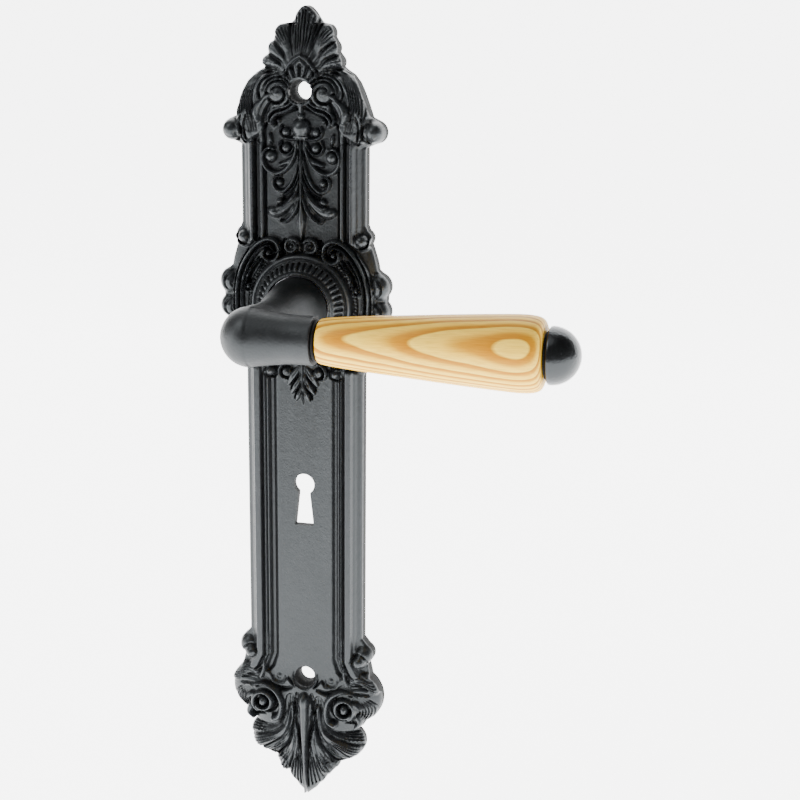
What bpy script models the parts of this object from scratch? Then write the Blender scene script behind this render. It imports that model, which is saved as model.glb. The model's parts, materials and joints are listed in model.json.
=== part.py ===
"""Door lever on a long cast plate, with its return spring mechanism and turned wooden grip.

The origin is on the spindle axis at the door's face. +X points from the spindle to the free end
of the grip, +Y points into the door and +Z is up. Depth is the distance from the door's face
towards the user, so depth d lies at y = -d. Dimensions are in millimetres and MM turns them
into metres where an object is made.
"""

from math import asin, cos, pi, radians, sin, sqrt

import bmesh
import bpy
from mathutils import Matrix

MM = 0.001
GAP = 0.3  # left between pieces that touch

# The cast plate
TOP_Z = 112.0
BOTTOM_Z = -207.0
SHAFT_HALF = 23.7
LIP_DEPTH = 4.8
FRAME_HALF = 19.4
FRAME_DEPTH = 8.8
FIELD_HALF = 13.6
FIELD_DEPTH = 6.3
HOLLOW_HALF = 20.2
SKIN = 3.1
SCREW_Z = (81.0, -153.6)
SCREW_MOUTH_R = 4.3
SCREW_HOLE_R = 3.3
KEYHOLE_Z = -72.0
KEYHOLE_R = 4.2
KEYHOLE_NECK = (-76.0, 2.5)
KEYHOLE_FOOT = (-89.0, 3.9)

# The collar and the room behind it
COLLAR_R = 13.4
COLLAR_DEPTH = 15.0
SEAT_R = 12.7
SEAT_DEPTH = 11.4
BOSS_R = 12.2
BOSS_BORE_R = 10.3
BOSS_DEPTH = 4.4
ROOM_R = 18.2
ROOM_DEPTH = 7.3

# The lever
JOURNAL_R = 8.0
JOURNAL_FLAT = 6.3
BELL_R = 12.1
BELL_DEPTH = 13.6
NECK_R = 8.8
DOME_R = 10.8
ARM_DEPTH = 68.4
ARM_R = 8.65
ARM_END = 24.0
SPINDLE_WIDTH = 8.0
SPINDLE_DEPTH = 48.0
SPINDLE_BEYOND = 60.0
STUD_R = 3.0
STUD_START = 11.5
STUD_END = 112.0
GRIP_START = 25.4
GRIP_END = 104.4
KNOB_START = 105.7
KNOB_END = 116.6
KNOB_R = 10.0
GRUB_DEPTH = 36.0
GRUB_R = 2.5

# The return mechanism
LEVER_TRAVEL = 40.0
PLATE_FRONT = 3.3
PLATE_BACK = 1.9
DRIVE_R = 12.0
LUG_R = 17.4
LUG_HALF = 2.2
PIN_R = 1.25
PIN_RING = 16.4
PIN_BOTTOM = 8.2
RING_FRONT = 1.6
RING_BACK = 0.9
GROOVE_R = 7.0
COIL_R = 14.2
WIRE_R = 0.6
COIL_FRONT = 6.4
COIL_BACK = 4.2
ANCHOR_ANGLE = 243.0


# ---------------------------------------------------------------- scene and materials

def clear_scene():
    for obj in list(bpy.data.objects):
        bpy.data.objects.remove(obj, do_unlink=True)


def new_collection(name):
    collection = bpy.data.collections.new(name)
    bpy.context.scene.collection.children.link(collection)
    return collection


def new_material(name, colour, roughness, metallic):
    material = bpy.data.materials.new(name)
    material.use_nodes = True
    shader = material.node_tree.nodes["Principled BSDF"]
    shader.inputs["Base Color"].default_value = (*colour, 1.0)
    shader.inputs["Roughness"].default_value = roughness
    shader.inputs["Metallic"].default_value = metallic
    return material


clear_scene()
PARTS = new_collection("door_lever_handle")
CUTTERS = new_collection("cutters")
IRON = new_material("black_cast_iron", (0.025, 0.026, 0.028), 0.55, 0.3)
STEEL = new_material("zinc_plated_steel", (0.55, 0.56, 0.58), 0.35, 1.0)
SPRING_STEEL = new_material("oiled_spring_steel", (0.12, 0.12, 0.13), 0.4, 1.0)
BRASS = new_material("brass", (0.75, 0.55, 0.25), 0.35, 1.0)
ASH = new_material("lacquered_ash", (0.85, 0.68, 0.40), 0.35, 0.0)


# ---------------------------------------------------------------- shape helpers

def add_object(name, mesh, collection=CUTTERS):
    obj = bpy.data.objects.new(name, mesh)
    collection.objects.link(obj)
    if collection == CUTTERS:
        obj.hide_render = True
        obj.display_type = "WIRE"
    return obj


def from_bmesh(name, bm):
    mesh = bpy.data.meshes.new(name)
    bm.to_mesh(mesh)
    bm.free()
    return add_object(name, mesh)


def block(name, xs, depths, zs):
    """A box between two x values, two depths and two z values."""
    bm = bmesh.new()
    bmesh.ops.create_cube(bm, size=1.0)
    size = (xs[1] - xs[0], depths[1] - depths[0], zs[1] - zs[0])
    centre = ((xs[0] + xs[1]) / 2, -(depths[0] + depths[1]) / 2, (zs[0] + zs[1]) / 2)
    bmesh.ops.scale(bm, verts=bm.verts, vec=[abs(side) * MM for side in size])
    bmesh.ops.translate(bm, verts=bm.verts, vec=[place * MM for place in centre])
    return from_bmesh(name, bm)


def swelling(name, x, z, depths, radii):
    """An ellipsoid between two depths, with its radii along X and Z."""
    bm = bmesh.new()
    bmesh.ops.create_uvsphere(bm, u_segments=14, v_segments=7, radius=1.0)
    half = (depths[1] - depths[0]) / 2
    size = (radii[0], half, radii[1])
    bmesh.ops.scale(bm, verts=bm.verts, vec=[radius * MM for radius in size])
    bmesh.ops.translate(bm, verts=bm.verts, vec=(x * MM, -(depths[0] + half) * MM, z * MM))
    return from_bmesh(name, bm)


def rod(name, x, z, radius, depths, sides=20):
    """A round rod along Y between two depths."""
    bm = bmesh.new()
    bmesh.ops.create_cone(
        bm, cap_ends=True, segments=sides, radius1=radius * MM, radius2=radius * MM,
        depth=abs(depths[1] - depths[0]) * MM)
    bmesh.ops.rotate(bm, verts=bm.verts, matrix=Matrix.Rotation(pi / 2, 3, "X"))
    middle = -(depths[0] + depths[1]) / 2
    bmesh.ops.translate(bm, verts=bm.verts, vec=(x * MM, middle * MM, z * MM))
    return from_bmesh(name, bm)


def turned(name, profile, closed=False, along_arm=False, steps=40):
    """A turned solid. The profile gives (radius, height) from top to bottom of its outer side.

    Height is depth for a piece on the spindle axis, and x for a piece on the arm's axis.
    """
    bm = bmesh.new()
    points = [bm.verts.new((radius * MM, 0, height * MM)) for radius, height in profile]
    for first, second in zip(points, points[1:]):
        bm.edges.new((first, second))
    if closed:
        bm.edges.new((points[-1], points[0]))
    obj = from_bmesh(name, bm)
    if along_arm:
        obj.rotation_euler = (0, pi / 2, 0)
        obj.location = (0, -ARM_DEPTH * MM, 0)
    else:
        obj.rotation_euler = (pi / 2, 0, 0)
    screw = obj.modifiers.new("turn", "SCREW")
    screw.axis = "Z"
    screw.angle = 2 * pi
    screw.steps = steps
    screw.render_steps = steps
    screw.use_merge_vertices = True
    screw.merge_threshold = 0.000001
    return obj


def annulus(name, inner, outer, low, high, along_arm=False):
    """A washer or a bush between two radii and two heights."""
    profile = [(outer, high), (outer, low), (inner, low), (inner, high)]
    return turned(name, profile, closed=True, along_arm=along_arm)


def curve_to_mesh(curve_object):
    """The same shape as a closed mesh, so that a Boolean can use it."""
    depsgraph = bpy.context.evaluated_depsgraph_get()
    mesh = bpy.data.meshes.new_from_object(curve_object.evaluated_get(depsgraph))
    bm = bmesh.new()
    bm.from_mesh(mesh)
    bmesh.ops.remove_doubles(bm, verts=bm.verts, dist=0.000001)
    bm.to_mesh(mesh)
    bm.free()
    name = curve_object.name
    place = curve_object.matrix_world.copy()
    bpy.data.objects.remove(curve_object, do_unlink=True)
    obj = add_object(name, mesh)
    obj.matrix_world = place
    return obj


def flat_shape(name, outlines, depths):
    """A flat outline of (x, z) points, with any holes after it, filled between two depths."""
    curve = bpy.data.curves.new(name, "CURVE")
    curve.dimensions = "2D"
    curve.fill_mode = "BOTH"
    curve.extrude = abs(depths[1] - depths[0]) / 2 * MM
    for outline in outlines:
        spline = curve.splines.new("POLY")
        spline.points.add(len(outline) - 1)
        for point, (x, z) in zip(spline.points, outline):
            point.co = (x * MM, z * MM, 0, 1)
        spline.use_cyclic_u = True
    obj = add_object(name, curve)
    obj.rotation_euler = (pi / 2, 0, 0)
    obj.location = (0, -(depths[0] + depths[1]) / 2 * MM, 0)
    bpy.context.view_layer.update()
    return curve_to_mesh(obj)


def arc(x, z, radius, start, end, steps):
    """Points along an arc, with angles in degrees from +X towards +Z."""
    turn = (end - start) / steps
    angles = [radians(start + step * turn) for step in range(steps + 1)]
    return [(x + radius * cos(angle), z + radius * sin(angle)) for angle in angles]


def combine(target, other, operation):
    modifier = target.modifiers.new(other.name, "BOOLEAN")
    modifier.operation = operation
    modifier.solver = "EXACT"
    modifier.object = other


def join(target, *others):
    for other in others:
        combine(target, other, "UNION")


def cut(target, *others):
    for other in others:
        combine(target, other, "DIFFERENCE")


def finish(obj, material, parent=None, bevel=0.0):
    """Moves a shaped object from the cutters to the parts and gives it its material."""
    CUTTERS.objects.unlink(obj)
    PARTS.objects.link(obj)
    obj.hide_render = False
    obj.display_type = "TEXTURED"
    obj.data.materials.clear()
    obj.data.materials.append(material)
    if bevel:
        edge = obj.modifiers.new("edges", "BEVEL")
        edge.width = bevel * MM
        edge.segments = 1
        edge.limit_method = "ANGLE"
        edge.angle_limit = radians(50)
    if hasattr(obj.data, "shade_smooth"):
        obj.data.shade_smooth()
        obj.data.set_sharp_from_angle(angle=radians(35))
    if parent:
        obj.parent = parent
    return obj


# ---------------------------------------------------------------- the cast plate

def mirrored(right_half):
    """A closed outline from its right half, which starts and ends on the middle line."""
    return right_half + [(-x, z) for x, z in reversed(right_half) if x > 0]


def plate_outline():
    crest = [(0, TOP_Z), (3.6, 109.8), (6.3, 106.2), (10.0, 104.0), (11.4, 100.6), (12.9, 98.2),
             (13.6, 95.0), (15.2, 92.6), (15.9, 89.2), (18.8, 87.4), (21.3, 84.4), (23.2, 80.6),
             (25.0, 75.8), (26.4, 71.6)]
    ear = arc(27.5, 66.2, 4.4, 62, -88, 6)
    upper_button = arc(23.8, 26.4, 3.3, 60, -40, 4)
    shoulder = [(27.3, 21.5), (28.5, 17.6), (29.2, 14.2)]
    leaves = arc(28.6, 8.0, 5.4, 70, -40, 5) + arc(29.0, -1.6, 5.0, 45, -60, 5)
    leaves += arc(27.0, -10.6, 4.4, 40, -60, 4)
    lower_button = arc(24.2, -19.5, 3.2, 60, -50, 4)
    shaft = [(SHAFT_HALF, -27.0), (SHAFT_HALF, -135.5)]
    foot = arc(23.8, -142.0, 4.3, 60, -60, 5) + arc(19.8, -160.8, 12.0, 52, -64, 8)
    foot += [(23.6, -174.0)] + arc(17.6, -181.2, 7.0, 55, -62, 5)
    tip = [(18.7, -189.2), (14.2, -191.4), (11.8, -194.4), (9.5, -197.5), (6.8, -200.9),
           (3.7, -204.2), (0, BOTTOM_Z)]
    right = crest + ear + [(24.7, 60.5), (24.7, 31.2)] + upper_button + shoulder
    return mirrored(right + leaves + lower_button + shaft + foot + tip)


def plate_swellings():
    """Rounded masses that the cast ornament stands on."""
    low = 0.6
    masses = [
        swelling("crest_mass", 0, 84, (low, 9.9), (18.5, 23.5)),
        swelling("foot_mass", 0, -177, (low, 9.6), (15.5, 26.5)),
        swelling("panel_mass", 0, 50, (FIELD_DEPTH - 3, 9.0), (11.0, 22.0)),
    ]
    for side, word in ((1, "right"), (-1, "left")):
        masses.append(swelling("ear_" + word, side * 26.4, 66.2, (low, 8.6), (5.0, 4.4)))
        masses.append(swelling("upper_leaf_" + word, side * 28.3, 8, (low, 8.4), (5.3, 5.2)))
        masses.append(swelling("lower_leaf_" + word, side * 28.6, -1.8, (low, 8.1), (4.9, 4.7)))
        masses.append(swelling("volute_" + word, side * 19.3, -160, (low, 10.0), (10.9, 10.7)))
    return masses


def collar_mass():
    profile = [(0, COLLAR_DEPTH), (COLLAR_R, COLLAR_DEPTH), (13.9, 14.2), (14.2, 12.9),
               (17.8, 9.7), (18.4, 9.2), (19.6, 9.8), (20.5, 9.2), (20.9, 7.6), (21.6, 3.5),
               (0, 3.5)]
    return turned("collar_mass", profile)


def mechanism_room():
    """The bore through the collar and the round room behind it, as one cutter."""
    profile = [(0, COLLAR_DEPTH + 2), (SEAT_R, COLLAR_DEPTH + 2), (SEAT_R, SEAT_DEPTH),
               (BOSS_BORE_R, SEAT_DEPTH), (BOSS_BORE_R, BOSS_DEPTH), (BOSS_R, BOSS_DEPTH),
               (BOSS_R, ROOM_DEPTH), (ROOM_R, ROOM_DEPTH), (ROOM_R, -1), (0, -1)]
    return turned("mechanism_room", profile)


def screw_hole(name, z):
    """A countersunk hole for a door screw."""
    profile = [(0, 14), (SCREW_MOUTH_R, 14), (SCREW_MOUTH_R, 5.6), (SCREW_HOLE_R, 4.2),
               (SCREW_HOLE_R, -1), (0, -1)]
    hole = turned(name, profile, steps=24)
    hole.location = (0, 0, z * MM)
    return hole


def keyhole_outline():
    """A round hole over a slot that widens downwards."""
    neck_z, neck_half = KEYHOLE_NECK
    foot_z, foot_half = KEYHOLE_FOOT
    dip = -asin(sqrt(1 - (neck_half / KEYHOLE_R) ** 2)) * 180 / pi
    bow = arc(0, KEYHOLE_Z, KEYHOLE_R, dip, 180 - dip, 20)
    return bow + [(-neck_half, neck_z), (-foot_half, foot_z), (foot_half, foot_z),
                  (neck_half, neck_z)]


def ring_place(angle):
    """The (x, z) place on the pins' ring at an angle in degrees from +X towards +Z."""
    return PIN_RING * cos(radians(angle)), PIN_RING * sin(radians(angle))


def stop_angles():
    """Where the two stops stand, so that the drive plate's lug turns by the lever's travel."""
    reach = asin((LUG_HALF + PIN_R + GAP) / PIN_RING) * 180 / pi + 0.3
    return {"stop_pin_lower": 180 + reach, "stop_pin_upper": 180 - LEVER_TRAVEL - reach}


def fixed_pins():
    """Name, angle and back end's depth of each pin that stands in the plate."""
    pins = [(name, angle, PLATE_BACK) for name, angle in stop_angles().items()]
    pins.append(("spring_anchor_pin", ANCHOR_ANGLE, COIL_BACK - 0.8))
    return pins


def make_backplate():
    plate = flat_shape("backplate", [plate_outline()], (0, LIP_DEPTH))
    low = LIP_DEPTH - 1.1
    join(plate,
         block("lower_frame", (-FRAME_HALF, FRAME_HALF), (low, FRAME_DEPTH), (-150, -15)),
         block("upper_frame", (-FRAME_HALF, FRAME_HALF), (low, FRAME_DEPTH), (15, 62)),
         collar_mass())
    cut(plate,
        block("lower_field", (-FIELD_HALF, FIELD_HALF), (FIELD_DEPTH, 12), (-146, -42)),
        block("upper_field", (-FIELD_HALF, FIELD_HALF), (FIELD_DEPTH + 0.4, 12), (28, 61)))
    join(plate, *plate_swellings())
    cut(plate,
        block("lower_hollow", (-HOLLOW_HALF, HOLLOW_HALF), (-1, FIELD_DEPTH - SKIN), (-146, -12)),
        block("upper_hollow", (-HOLLOW_HALF, HOLLOW_HALF), (-1, FIELD_DEPTH - SKIN), (12, 72)),
        swelling("crest_hollow", 0, 98.5, (-5.4, 4.6), (8.5, 8.2)),
        swelling("foot_hollow", 0, -179, (-6.0, 5.2), (12.5, 15.0)),
        mechanism_room(),
        screw_hole("upper_screw_hole", SCREW_Z[0]),
        screw_hole("lower_screw_hole", SCREW_Z[1]),
        flat_shape("keyhole", [keyhole_outline()], (-1, 12)))
    for name, angle, _ in fixed_pins():
        x, z = ring_place(angle)
        cut(plate, rod(name + "_hole", x, z, PIN_R + GAP, (-1, PIN_BOTTOM + GAP), sides=16))
    finish(plate, IRON)


def make_fixed_pins():
    for name, angle, back in fixed_pins():
        x, z = ring_place(angle)
        finish(rod(name, x, z, PIN_R, (back, PIN_BOTTOM), sides=16), STEEL)


def make_guide_bush():
    flange = SEAT_DEPTH + GAP
    profile = [(JOURNAL_R + GAP, flange + 0.8), (SEAT_R - GAP, flange + 0.8),
               (SEAT_R - GAP, flange), (BOSS_BORE_R - GAP, flange),
               (BOSS_BORE_R - GAP, BOSS_DEPTH + GAP), (JOURNAL_R + GAP, BOSS_DEPTH + GAP)]
    finish(turned("guide_bush", profile, closed=True), BRASS)


def make_washers():
    front = SEAT_DEPTH + 2 * GAP + 0.8
    finish(annulus("neck_washer", JOURNAL_R + GAP, SEAT_R - 0.4, front, front + 0.5), STEEL)
    back = BOSS_DEPTH - GAP
    finish(annulus("backing_washer", JOURNAL_R + GAP, DRIVE_R, back - 0.5, back), STEEL)


def make_return_spring():
    """A torsion coil round the boss. One leg bears on the anchor pin, the other on the drive pin."""
    beside_pin = (PIN_R + WIRE_R + GAP) / PIN_RING * 180 / pi
    start = ANCHOR_ANGLE + beside_pin
    end = -beside_pin
    turning = end - start - 360
    steps = 34
    route = []
    for step in range(steps + 1):
        share = step / steps
        angle = radians(start + share * turning)
        depth = COIL_FRONT + share * (COIL_BACK - COIL_FRONT)
        route.append((COIL_R * cos(angle), -depth, COIL_R * sin(angle)))
    for at, angle, depth in ((0, start, COIL_FRONT), (len(route) + 1, end, COIL_BACK)):
        reach = ROOM_R - WIRE_R - 2 * GAP
        leg = (reach * cos(radians(angle)), -depth, reach * sin(radians(angle)))
        route.insert(at, leg)
    curve = bpy.data.curves.new("return_spring", "CURVE")
    curve.dimensions = "3D"
    curve.bevel_depth = WIRE_R * MM
    curve.bevel_resolution = 2
    curve.use_fill_caps = True
    spline = curve.splines.new("POLY")
    spline.points.add(len(route) - 1)
    for point, (x, y, z) in zip(spline.points, route):
        point.co = (x * MM, y * MM, z * MM, 1)
    finish(add_object("return_spring", curve), SPRING_STEEL)


# ---------------------------------------------------------------- the lever and its drive

def dome_profile(radius, top, steps=7):
    """From the pole of a half ball at height `top` to its widest ring."""
    angles = [step / steps * pi / 2 for step in range(steps + 1)]
    return [(radius * sin(a), top - radius * (1 - cos(a))) for a in angles]


def make_lever_neck(parent):
    profile = dome_profile(DOME_R, ARM_DEPTH + DOME_R)
    profile += [(10.0, 61.0), (9.1, 53.0), (NECK_R, 46.0), (NECK_R, 40.0), (9.4, 35.0),
                (10.3, 29.5), (11.2, 22.0), (11.8, 16.8), (BELL_R, 15.2), (BELL_R, BELL_DEPTH),
                (JOURNAL_R, BELL_DEPTH), (JOURNAL_R, GAP), (0, GAP)]
    neck = turned("lever_neck", profile, steps=32)
    bore = STUD_R + GAP
    arm_profile = [(0, STUD_START), (bore, STUD_START), (bore, ARM_END), (ARM_R - 0.4, ARM_END),
                   (ARM_R, ARM_END - 0.4), (ARM_R, 15.0), (9.4, 7.0), (9.9, 2.0), (0, 2.0)]
    arm = turned("arm", arm_profile, along_arm=True, steps=32)
    join(neck, arm)
    hole = SPINDLE_WIDTH / 2 + GAP
    flats = block("journal_flats", (-12, 12), (-2, PLATE_FRONT + 0.2), (-12, 12))
    cut(flats, block("flats_core", (-14, 14), (-4, 6), (-JOURNAL_FLAT, JOURNAL_FLAT)))
    groove = annulus("ring_groove", GROOVE_R, 12, RING_BACK - 0.2, RING_FRONT + 0.2)
    dowel_hole = dowel("dowel_hole", 1.3, 19.0, 30.0)
    grub_hole = upright_rod("grub_hole", GRUB_R + GAP, -14, -2)
    spindle_hole = block("spindle_hole", (-hole, hole), (-2, SPINDLE_DEPTH + GAP), (-hole, hole))
    cut(neck, dowel_hole, grub_hole, flats, groove, spindle_hole)
    finish(neck, IRON, parent)


def dowel(name, radius, start, end):
    """A small rod beside the stud, along the arm."""
    profile = [(0, end), (radius, end), (radius, start), (0, start)]
    obj = turned(name, profile, along_arm=True, steps=12)
    obj.location = (0, -ARM_DEPTH * MM, 5.4 * MM)
    return obj


def upright_rod(name, radius, low, high, sides=16):
    """A rod along Z through the neck's side, where the grub screw stands."""
    bm = bmesh.new()
    bmesh.ops.create_cone(
        bm, cap_ends=True, segments=sides, radius1=radius * MM, radius2=radius * MM,
        depth=(high - low) * MM)
    bmesh.ops.translate(bm, verts=bm.verts, vec=(0, -GRUB_DEPTH * MM, (low + high) / 2 * MM))
    return from_bmesh(name, bm)


def make_spindle(parent):
    half = SPINDLE_WIDTH / 2
    spindle = block("spindle", (-half, half), (-SPINDLE_BEYOND, SPINDLE_DEPTH), (-half, half))
    finish(spindle, STEEL, parent, bevel=0.5)


def make_grub_screw(parent):
    screw = upright_rod("grub_screw", GRUB_R, -NECK_R + 0.4, -SPINDLE_WIDTH / 2 - GAP)
    cut(screw, upright_rod("grub_socket", 1.4, -NECK_R - 1, -NECK_R + 2.4, sides=6))
    finish(screw, STEEL, parent)


def make_drive_plate(parent):
    """A disc on the journal's flats, with a lug for the stops and an arm for the spring's pin."""
    lug_turn = asin(LUG_HALF / DRIVE_R) * 180 / pi
    arm_half = 2.8
    arm_turn = asin(arm_half / DRIVE_R) * 180 / pi
    outline = [(LUG_R, -arm_half), (LUG_R, arm_half)]
    outline += arc(0, 0, DRIVE_R, arm_turn, 180 - lug_turn, 14)
    outline += [(-LUG_R, LUG_HALF), (-LUG_R, -LUG_HALF)]
    outline += arc(0, 0, DRIVE_R, 180 + lug_turn, 360 - arm_turn, 14)
    hole_r = JOURNAL_R + GAP
    flat_turn = asin((JOURNAL_FLAT + GAP) / hole_r) * 180 / pi
    hole = arc(0, 0, hole_r, -flat_turn, flat_turn, 8)
    hole += arc(0, 0, hole_r, 180 - flat_turn, 180 + flat_turn, 8)
    plate = flat_shape("drive_plate", [outline, hole], (PLATE_BACK, PLATE_FRONT))
    x, z = ring_place(0)
    cut(plate, rod("drive_pin_hole", x - 0.5, z, PIN_R + GAP, (0, 5), sides=16))
    finish(plate, STEEL, parent)
    pin = rod("drive_pin", x - 0.5, z, PIN_R, (PLATE_BACK, COIL_FRONT), sides=16)
    finish(pin, STEEL, parent)


def make_retaining_ring(parent):
    """An open ring that snaps into the journal's groove."""
    outer = arc(0, 0, GROOVE_R + 2.9, -68, 248, 22)
    inner = arc(0, 0, GROOVE_R + 0.2, 248, -68, 22)
    ring = flat_shape("retaining_ring", [outer + inner], (RING_BACK, RING_FRONT))
    finish(ring, SPRING_STEEL, parent)


def make_grip(parent):
    bore = STUD_R + GAP
    washer_end = GRIP_START - GAP
    stud = [(0, STUD_END), (STUD_R, STUD_END), (STUD_R, STUD_START + GAP), (0, STUD_START + GAP)]
    finish(turned("tang_stud", stud, along_arm=True, steps=16), STEEL, parent)
    washer = annulus("grip_washer", bore, 7.4, ARM_END + GAP, washer_end, along_arm=True)
    cut(washer, dowel("washer_dowel_hole", 1.3, 20, 30))
    finish(washer, IRON, parent)
    profile = [(bore, GRIP_END), (10.2, GRIP_END), (11.6, 103.8), (12.6, 102.5), (13.1, 100.3),
               (13.3, 96.5), (12.8, 86.0), (11.8, 71.0), (10.5, 54.0), (9.5, 41.0), (8.5, 30.5),
               (7.9, 26.8), (7.3, GRIP_START), (bore, GRIP_START)]
    grip = turned("wood_grip", profile, closed=True, along_arm=True, steps=36)
    cut(grip, dowel("grip_dowel_hole", 1.3, 20, 30.3))
    finish(grip, ASH, parent)
    finish(dowel("grip_dowel", 1.0, 19.3, 30.0), STEEL, parent)
    finish(annulus("cap_washer", bore, 8.2, GRIP_END + GAP, KNOB_START - GAP, along_arm=True),
           IRON, parent)


def make_end_knob(parent):
    profile = dome_profile(KNOB_R, KNOB_END)
    profile += [(9.6, KNOB_START + 0.2), (9.0, KNOB_START), (0, KNOB_START)]
    knob = turned("end_knob", profile, along_arm=True, steps=32)
    bore = STUD_R + GAP
    hole = [(0, STUD_END + GAP), (bore, STUD_END + GAP), (bore, GRIP_END), (0, GRIP_END)]
    cut(knob, turned("knob_bore", hole, along_arm=True, steps=16))
    finish(knob, IRON, parent)


def make_lever_axis():
    """The empty on the joint's axis that carries everything that turns."""
    axis = bpy.data.objects.new("lever_axis", None)
    PARTS.objects.link(axis)
    return axis


make_backplate()
make_guide_bush()
make_washers()
make_fixed_pins()
make_return_spring()
lever = make_lever_axis()
make_lever_neck(lever)
make_spindle(lever)
make_grub_screw(lever)
make_drive_plate(lever)
make_retaining_ring(lever)
make_grip(lever)
make_end_knob(lever)
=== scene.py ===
import json
from math import cos, pi, radians, sin

import bmesh
import bpy
import numpy as np
from mathutils import Matrix, Vector

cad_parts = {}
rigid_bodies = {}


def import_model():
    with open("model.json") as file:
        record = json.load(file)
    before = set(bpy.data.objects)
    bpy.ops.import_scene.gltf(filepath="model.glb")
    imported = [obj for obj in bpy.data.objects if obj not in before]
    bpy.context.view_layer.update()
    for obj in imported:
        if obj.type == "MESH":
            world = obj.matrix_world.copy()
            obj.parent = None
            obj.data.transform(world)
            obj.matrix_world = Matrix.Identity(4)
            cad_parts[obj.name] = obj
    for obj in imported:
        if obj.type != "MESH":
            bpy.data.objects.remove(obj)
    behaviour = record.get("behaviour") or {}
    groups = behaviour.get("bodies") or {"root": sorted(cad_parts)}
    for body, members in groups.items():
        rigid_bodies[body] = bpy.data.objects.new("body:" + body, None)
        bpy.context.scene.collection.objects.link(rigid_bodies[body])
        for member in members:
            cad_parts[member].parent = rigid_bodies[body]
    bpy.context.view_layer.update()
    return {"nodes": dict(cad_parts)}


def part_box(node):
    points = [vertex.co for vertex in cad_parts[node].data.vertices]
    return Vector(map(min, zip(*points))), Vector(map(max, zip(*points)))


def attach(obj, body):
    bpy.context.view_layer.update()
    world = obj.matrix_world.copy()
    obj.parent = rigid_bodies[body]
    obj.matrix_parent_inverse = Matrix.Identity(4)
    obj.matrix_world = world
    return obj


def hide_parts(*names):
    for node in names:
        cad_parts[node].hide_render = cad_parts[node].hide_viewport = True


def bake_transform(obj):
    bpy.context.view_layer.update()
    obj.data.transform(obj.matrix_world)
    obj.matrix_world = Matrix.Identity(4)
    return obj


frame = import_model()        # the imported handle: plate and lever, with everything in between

MM = 0.001
LOW = -99.0  # stands for "nothing here" in a height

# Places that the frame gives, in millimetres. Depth is the distance in front of the door's face.
PLATE_LOW, PLATE_HIGH = [[side / MM for side in corner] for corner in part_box("backplate")]
NECK_LOW, NECK_HIGH = [[side / MM for side in corner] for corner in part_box("lever_neck")]
GRIP_LOW, GRIP_HIGH = [[side / MM for side in corner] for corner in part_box("wood_grip")]
KNOB_LOW, KNOB_HIGH = [[side / MM for side in corner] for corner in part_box("end_knob")]
ARM_DEPTH = -(GRIP_LOW[1] + GRIP_HIGH[1]) / 2
COLLAR_DEPTH = -PLATE_LOW[1]


# ================================================================= camera, light and stage

def aim_camera():
    """Stands to the right of the handle and a little above it, and looks slightly down."""
    azimuth, elevation, roll = radians(14.17), radians(14.06), radians(0.51)
    target, distance = Vector((0.0372, 0, -0.0366)), 0.637
    back = Vector((sin(azimuth) * cos(elevation), -cos(azimuth) * cos(elevation), sin(elevation)))
    level = Vector((cos(azimuth), sin(azimuth), 0))
    upright = back.cross(level)
    right = cos(roll) * level + sin(roll) * upright
    up = -sin(roll) * level + cos(roll) * upright
    camera = bpy.data.objects.new("camera", bpy.data.cameras.new("camera"))
    bpy.context.scene.collection.objects.link(camera)
    turn = Matrix((right, up, back)).transposed().to_4x4()
    camera.matrix_world = Matrix.Translation(target + back * distance) @ turn
    camera.data.lens = 73.85
    camera.data.sensor_width = 36
    camera.data.clip_start = 0.02
    bpy.context.scene.camera = camera


def add_light(name, place, target, size, watts):
    """A soft light of a given width and height, turned to its target."""
    lamp = bpy.data.lights.new(name, "AREA")
    lamp.shape = "RECTANGLE"
    lamp.size, lamp.size_y = size
    lamp.energy = watts
    obj = bpy.data.objects.new(name, lamp)
    bpy.context.scene.collection.objects.link(obj)
    obj.location = place
    aim = Vector(target) - Vector(place)
    obj.rotation_euler = aim.to_track_quat("-Z", "Y").to_euler()


COVE_REACH = 4.0
COVE_FRONT = 1.15     # the glowing floor ends here, so the upper panel mirrors the dark room
COVE_BEND = 1.0       # and here, behind the handle, it starts to rise
COVE_RISE = 0.7
COVE_GLOW, ROOM_GLOW = 5.0, 0.08


def make_studio():
    """A softly glowing white cove, with the dark of the room in front of and above the handle.

    The room gives little light, but is as pale as the cove where it shows behind the handle.
    """
    world = bpy.data.worlds.new("dim_room")
    bpy.context.scene.world = world
    world.use_nodes = True
    background = world.node_tree.nodes["Background"]
    background.inputs["Color"].default_value = (1, 1, 1, 1)
    seen = add_node(world.node_tree, "LightPath").outputs["Is Camera Ray"]
    strength = add_node(world.node_tree, "MapRange", [("Value", seen)], To_Min=ROOM_GLOW, To_Max=COVE_GLOW)
    world.node_tree.links.new(strength.outputs["Result"], background.inputs["Strength"])
    add_light("left_softbox", (-1.35, -0.75, 0.1), (0, 0, -0.05), (1.0, 1.0), 13)
    add_light("top_softbox", (-0.25, -0.5, 1.4), (0.05, 0, -0.02), (1.2, 0.8), 4)
    add_light("crest_lamp", (-0.42, -0.45, 0.62), (0, 0, 0.1), (0.3, 0.3), 2.6)
    bm = bmesh.new()
    bmesh.ops.create_grid(bm, x_segments=8, y_segments=60, size=COVE_REACH)
    floor_height = PLATE_LOW[2] * MM - 0.03
    for vert in bm.verts:
        vert.co.y += COVE_REACH - COVE_FRONT
        beyond = max(0.0, vert.co.y - COVE_BEND)
        vert.co.z = floor_height + COVE_RISE * beyond ** 2
    cove = add_object("cove", bm, angle=60)
    acrylic, _, _ = new_material("glowing_white_acrylic", "#F7F7F7", 0.9, Emission_Strength=COVE_GLOW,
                                 Emission_Color=(1, 1, 1, 1))
    cove.data.materials.append(acrylic)


# ================================================================= small helpers for nodes

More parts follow.
